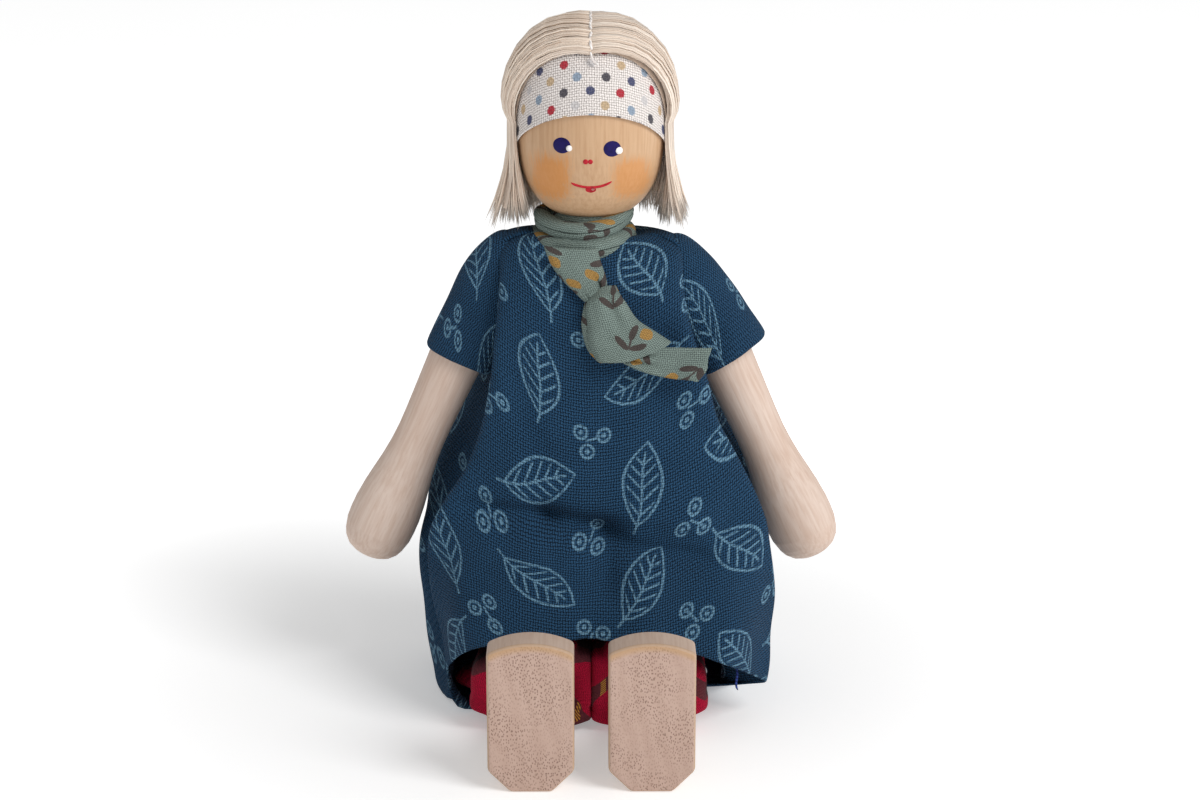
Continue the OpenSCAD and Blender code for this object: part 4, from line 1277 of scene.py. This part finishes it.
def dress_point(u, v, creased=True):
    """u round the body from the middle of the back, v from the neck to the hem."""
    t = (u + 0.5) % 1.0
    a = 2 * math.pi * t
    arc = min(1.0, v / SHOULDER_SHARE) * math.pi / 2
    k = math.sin(arc)
    d = max(0.0, (v - SHOULDER_SHARE) / (1 - SHOULDER_SHARE))
    chest = BODICE_TOP - CHEST_DROP * (1 - math.cos(arc))
    slope = abs(math.cos(a)) ** 1.1
    drop, turned = tucked(t, d)
    shoulder = along(SHOULDER_LINE[1 if t <= 0.5 else -1], k)
    z = lerp(lerp(shoulder, chest, slope), hem_height(t), drop)
    neck = Vector((NECK[0] * math.sin(a), -NECK[1] * math.cos(a)))
    flat = neck.lerp(ring_point(z, t), k) + turned
    if t > 0.5 and turned.length:
        z = lerp(z, HEM_Z[-1][-1], ease(turned.length / 4))
    if not creased:
        return Vector((flat.x, flat.y, z))
    loose = ease((60 - z) / 40)
    wave = noise.noise(Vector((flat.x * 0.16, flat.y * 0.16, z * 0.1))) * lerp(0.25, 0.8, loose) * k
    flat += Vector((math.sin(a), -math.cos(a))) * wave
    push = pressed(flat.x, z) * ease(max(0.0, math.cos(a)) * 3) * k
    return Vector((flat.x, flat.y + push, z))


# %% The body of the dress, with its armholes
DRESS_GRID = (120, 80)
DRESS_THICK = 0.45
ARMHOLE = {"radius": 6.4, "outside": 11.2, "depth": 6}


def in_armhole(face):
    """Whether the middle of a face of the dress lies where an arm comes out."""
    mid = face.calc_center_median()
    near = math.hypot(mid.y - SHOULDER.y, mid.z - SHOULDER.z) < ARMHOLE["radius"]
    return near and abs(mid.x) > ARMHOLE["outside"] and abs(mid.y) < ARMHOLE["depth"]


dress_mesh = cloth(
    *DRESS_GRID, dress_point, rolled=True, smooth=lambda u, v: dress_point(u, v, creased=False)
)
holes = [face for face in dress_mesh.faces if in_armhole(face)]
bmesh.ops.delete(dress_mesh, geom=holes, context="FACES")
indigo = dress_cotton()
dress = soften(piece("shift_dress", dress_mesh, indigo), DRESS_THICK)
settle(dress, "torso", "dress_cotton", "dress_front", "dress_back")

# %% [markdown]
# ## Sleeves round the arms
# A sleeve is a short tube from the shoulder to above the elbow. It is drawn round the arm in its rest pose.

# %% Two short sleeves
SLEEVE_KEYS = (0, 0.2, 0.4, 0.6, 0.8, 1.0)
SLEEVE_TOP = {
    1: [(11.6, 76.8), (14.4, 78.0), (17.4, 76.6), (21.1, 73.0), (25.2, 67.4), (29.4, 61.1)],
    -1: [(11.6, 77.3), (14.4, 78.6), (17.3, 77.4), (20.5, 73.9), (23.9, 67.4), (27.8, 59.5)],
}
SLEEVE_LOW = {1: [(11.9, 63.4), (18.9, 54.8)], -1: [(11.9, 63.0), (17.0, 55.0)]}
SLEEVE_DEPTH = [(0, 7.3), (0.3, 7.0), (0.6, 6.7), (1, 6.5)]
SLEEVE_GRID = (44, 22)


def sleeve_point(u, v, side):
    """u round the sleeve from its top, v from the shoulder to the hem."""
    top = along_points(SLEEVE_KEYS, SLEEVE_TOP[side], v)
    low = Vector(SLEEVE_LOW[side][0]).lerp(Vector(SLEEVE_LOW[side][1]), v)
    a = 2 * math.pi * u
    middle, half = (top + low) / 2, (top - low) / 2
    spot = middle + half * bent(math.cos(a), 0.9)
    depth = along(SLEEVE_DEPTH, v) * (1 + 0.12 * math.cos(a + 2.4))
    y = -depth * bent(math.sin(a), 0.86)
    wave = 0.3 * noise.noise(Vector((spot.x * 0.2, y * 0.2 + side * 9, spot.y * 0.2)))
    sag = 0.6 * ease((v - 0.6) / 0.4) * max(0.0, -math.cos(a)) ** 2
    return Vector((side * (spot.x + wave), y * (1 + wave * 0.06), spot.y - sag))


for side, name in ((1, "left"), (-1, "right")):
    mesh = cloth(*SLEEVE_GRID, lambda u, v: sleeve_point(u, v, side), start=(side * 20.0, 0.0), rolled=True)
    sleeve = soften(piece(name + "_cotton_sleeve", mesh, indigo), DRESS_THICK)
    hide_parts(name + "_sleeve")
    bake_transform(sleeve)

# %% [markdown]
# ## Plaid bloomers
# Under the dress are wide bloomers in crimson plaid. Each leg is a gathered tube round the wooden leg in its
# rest pose, and the seat is a wide band round the hips, drawn in by a waist elastic.

# %% Crimson plaid with dark bars and gold ticks
PLAID_STEP = 13.0
PLAID_BAR = (0.3, 1.8)
PLAID_LINE = (0.8, 0.5)
PLAID_PITCH = (0.3, 0.3)
TICK_STEP = 0.5


def stripe(position, middle, half):
    return abs((position / PLAID_STEP) % 1 - middle).fade(half / PLAID_STEP, half * 0.9 / PLAID_STEP)


def plaid_cotton():
    finish, across, down = cotton("plaid_cotton")
    threads = weave(finish, across, down, PLAID_PITCH)
    # The weave's height darkens the gaps between threads as painted shade and lightens the thread tops as
    # painted highlight. The crimson is set dark, partly the cloth's own deep colour and partly painted shade
    # for the dress hanging over the bloomers.
    colour = finish.mix(paint(84, 4, 20), paint(184, 20, 58), threads.fade(0.1, 0.9))
    for position, crossing in ((across, down), (down, across)):
        bar, crossed = stripe(position, *PLAID_BAR), stripe(crossing, *PLAID_BAR)
        colour = finish.mix(colour, paint(52, 48, 50), bar * (0.45 + threads * 0.4))
        ticks = abs((crossing / TICK_STEP) % 1 - 0.5).fade(0.3, 0.2)
        gold = stripe(position, *PLAID_LINE) * crossed * ticks * 0.9
        colour = finish.mix(colour, paint(206, 150, 60), gold)
    return finish.show(base_color=colour, roughness=0.9, normal=finish.bump(threads, 0.1, 0.8))


# %% Bloomer legs and seat
BLOOMER = {
    "start": -4.0, "end": 27.0, "hip": 6.6, "wide": 9.0, "rise": 9.2, "floor": 0.45, "hem": 0.86, "leg": 5.2,
    "reach": 14.4,
}
BLOOMER_GRID = (60, 26)
OUTSIDE = {-1: 1.8, 1: 0.9}
FLARE = {"out": 5.4, "run": 0.52, "long": 0.12, "turn": 112, "wide": 20}
SEAT = {"wide": 15.6, "deep": 9.6, "top": 26.5, "low": 0.5, "front": 14.9, "waist": (12.9, 8.6)}
SEAT_GRID = (104, 16)
PLAID_THICK = 0.4


def bloomer_point(u, v, side, gathered=True):
    """u round the leg from its top, v from the hip to the hem, which is gathered in to the leg."""
    a = 2 * math.pi * u
    run = min(1.0, v / BLOOMER["hem"])
    close = max(0.0, (v - BLOOMER["hem"]) / (1 - BLOOMER["hem"]))
    y = lerp(BLOOMER["start"], BLOOMER["end"], run) + 0.9 * math.sin(math.pi * close) - 0.8 * close
    full = ease(run * 2.4) - 0.1 * ease((run - 0.85) * 7)
    deep = 0.3 + 0.35 * ease((run - 0.5) * 2)
    gather = deep * math.cos(9 * a + 2 * run) + 0.25 * math.cos(14 * a + 5 * run)
    gather *= gathered
    wide = lerp(lerp(BLOOMER["hip"], BLOOMER["wide"], full) + gather * 0.7, BLOOMER["leg"], close)
    rise = lerp(lerp(BLOOMER["hip"], BLOOMER["rise"], full) + gather * 0.6, BLOOMER["leg"], close)
    low = lerp(HIP.z - BLOOMER["floor"] + gather * 0.25, BLOOMER["leg"], close)
    outside = OUTSIDE[side] * ease((run - 0.4) * 2) * max(0.0, math.sin(a)) ** 3 * (1 - close)
    off_run = (run - FLARE["run"]) / FLARE["long"]
    off_turn = (math.degrees(a) - FLARE["turn"]) / FLARE["wide"]
    flare = FLARE["out"] * math.exp(-(off_run**2) - off_turn**2) if side < 0 else 0.0
    up = (rise if math.cos(a) > 0 else low) * bent(math.cos(a), 0.85)
    across = 1.16 * bent(math.sin(a), lerp(0.45, 0.9, close)) if math.sin(a) < 0 else math.sin(a)
    x = HIP.x + min(wide * across + outside + flare, BLOOMER["reach"])
    crease = 0.5 * noise.noise(Vector((x * 0.3 * side, y * 0.2, up * 0.3))) * gathered
    return Vector((side * max(0.12, x + crease * 0.4), -y, max(0.35, HIP.z + up + crease)))


def seat_point(u, v):
    """The band round the hips, u round from behind, v from the waist down: open in front for the legs."""
    a = 2 * math.pi * u
    front = max(0.0, -math.cos(a))
    low = lerp(SEAT["low"], SEAT["front"], ease(front * 1.6 + abs(math.sin(a)) ** 4 * 0.6))
    z = lerp(SEAT["top"], low, v)
    full = ease(v * 1.7)
    gather = 0.35 * math.cos(26 * a) * (1 - 0.6 * v)
    wide = lerp(SEAT["waist"][0], SEAT["wide"], full) + gather
    deep = lerp(SEAT["waist"][1], SEAT["deep"], full) + gather
    return Vector((wide * bent(math.sin(a), 0.8), deep * bent(math.cos(a), 0.8), z))


plaid = plaid_cotton()
for side, name in ((1, "left"), (-1, "right")):
    mesh = cloth(
        *BLOOMER_GRID, lambda u, v: bloomer_point(u, v, side), start=(side * 17.0, 3.0), rolled=True,
        smooth=lambda u, v: bloomer_point(u, v, side, gathered=False),
    )
    bloomer = soften(piece(name + "_plaid_leg", mesh, plaid), PLAID_THICK)
    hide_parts(name + "_bloomer_leg")
    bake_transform(bloomer)

seat = soften(piece("plaid_seat", cloth(*SEAT_GRID, seat_point, rolled=True), plaid), PLAID_THICK)
settle(seat, "torso", "plaid_cotton", "bloomer_seat")

# %% [markdown]
# ## Elastics and a loose thread
# White braided elastic holds the limbs and the waist. It hardly shows, but it is there when the doll is
# posed. At the hem a blue sewing thread has come loose and hangs down.

# %% Braided elastic and the loose hem thread
HEM_THREAD = [
    (23.8, -24.6, 11.2), (24.0, -25.2, 10.2), (24.1, -25.4, 9.2), (23.8, -25.6, 8.2), (23.9, -25.7, 7.2),
    (24.4, -25.6, 6.4),
]
HEM_THREAD_R = 0.22


def braided_elastic():
    finish = Finish("braided_elastic", specular_IOR_level=0.3)
    x, y, z = finish.where().parts()
    ribs = ((x + y) * 7).sine() * ((x - y + z) * 7).sine() * 0.5 + 0.5
    colour = finish.mix(paint(206, 200, 194), paint(244, 241, 236), ribs)
    return finish.show(base_color=colour, roughness=0.7 + ribs * 0.15, normal=finish.bump(ribs, 0.15, 0.7))


def blue_thread():
    finish = Finish("blue_thread", specular_IOR_level=0.3)
    x, y, z = finish.where().parts()
    twist = ((z * 2 + x + y) * 5).sine() * 0.5 + 0.5
    colour = finish.mix(paint(22, 34, 92), paint(50, 72, 150), twist)
    return finish.show(base_color=colour, roughness=0.8 + twist * 0.1, normal=finish.bump(twist, 0.1, 0.6))


elastic = braided_elastic()
for node in ("shoulder_elastic", "hip_elastic", "waist_elastic"):
    refinish(node, elastic)
loose = bmesh.new()
thread(loose, [Vector(p) for p in HEM_THREAD], HEM_THREAD_R, lambda p: Vector((0, -1, 0.2)), sides=8)
settle(soften(piece("loose_hem_thread", close_up(loose), blue_thread())), "torso", "dress_cotton")

# %% [markdown]
# ## Sheets of cloth
# The scarf's whole way is two turns that show, one under the chin, the drop, the knot and the end.

# %% [markdown]
# ## Floor, light and camera
# A white floor and an even room give soft studio light. The floor also glows, which is painted light, and its
# glow is dimmer near the doll, a painted shade that lets the doll's own shadow show. The room is dimmer as a
# lamp than as a backdrop, or the folds would go flat, so a Light Path node tells the two apart. A large lamp
# from the upper right shapes the folds, and the camera looks slightly down at the doll from in front.

# %% Floor and light
WORLD_LIGHT = 0.4
KEY = {"place": (0.5, -0.45, 0.6), "size": 0.42, "power": 4.6}
AIM = Vector((0, 0, 0.05))


def floor_finish():
    finish = Finish("studio_floor", roughness=0.9, specular_IOR_level=0.1, emission_strength=0.6)
    spot = finish.where()
    x, y, _ = spot.parts()
    # The floor glows, a painted glow: half as bright within 40 mm of the doll's middle, a painted shade round
    # the doll, and full beyond 140 mm.
    far = (x * x + y * y).root().fade(40, 140)
    shade = finish.clouds(spot, 0.004, 2.0)
    return finish.show(
        base_color=finish.mix((0.86, 0.86, 0.86, 1), (0.9, 0.9, 0.9, 1), shade),
        emission_color=finish.mix((0.5, 0.5, 0.5, 1), (1, 1, 1, 1), far),
    )


ground = bmesh.new()
bmesh.ops.create_grid(ground, x_segments=1, y_segments=1, size=4000)
floor = piece("studio_floor", ground, floor_finish())

world = bpy.data.worlds.new("studio")
bpy.context.scene.world = world
world.use_nodes = True
room = world.node_tree.nodes["Background"]
room.inputs["Color"].default_value = (1, 1, 1, 1)
ray = world.node_tree.nodes.new("ShaderNodeLightPath")
strength = world.node_tree.nodes.new("ShaderNodeMapRange")
strength.inputs["To Min"].default_value = WORLD_LIGHT
strength.inputs["To Max"].default_value = 1.0
world.node_tree.links.new(ray.outputs["Is Camera Ray"], strength.inputs["Value"])
world.node_tree.links.new(strength.outputs["Result"], room.inputs["Strength"])

lamp = bpy.data.lights.new("key_lamp", "AREA")
lamp.size = KEY["size"]
lamp.energy = KEY["power"]
key = bpy.data.objects.new("key_lamp", lamp)
key.location = KEY["place"]
key.rotation_euler = (AIM - key.location).to_track_quat("-Z", "Y").to_euler()
bpy.context.scene.collection.objects.link(key)
bpy.context.scene.view_settings.view_transform = "Standard"
print("floor and light are set")

# %% The camera
LOOK_DOWN = math.radians(15)
DISTANCE = 420.0
LOOK_AT = Vector((0, 0, 52))
FRAME_SHIFT = (1.53, -2.55)
SENSOR = 36.0
FOCAL_PIXELS = 2470
IMAGE_WIDTH = 1200

ahead = Vector((0, math.cos(LOOK_DOWN), -math.sin(LOOK_DOWN)))
above = Vector((0, math.sin(LOOK_DOWN), math.cos(LOOK_DOWN)))
stand = LOOK_AT - ahead * DISTANCE
target = LOOK_AT + Vector((FRAME_SHIFT[0], 0, 0)) + above * FRAME_SHIFT[1]
lens = bpy.data.cameras.new("camera")
lens.sensor_width = SENSOR
lens.lens = SENSOR * FOCAL_PIXELS / IMAGE_WIDTH
lens.clip_start = 0.01
camera = bpy.data.objects.new("camera", lens)
camera.location = stand * MM
camera.rotation_euler = (target - stand).to_track_quat("-Z", "Y").to_euler()
bpy.context.scene.collection.objects.link(camera)
bpy.context.scene.camera = camera
print("lens", round(lens.lens, 1), "mm")
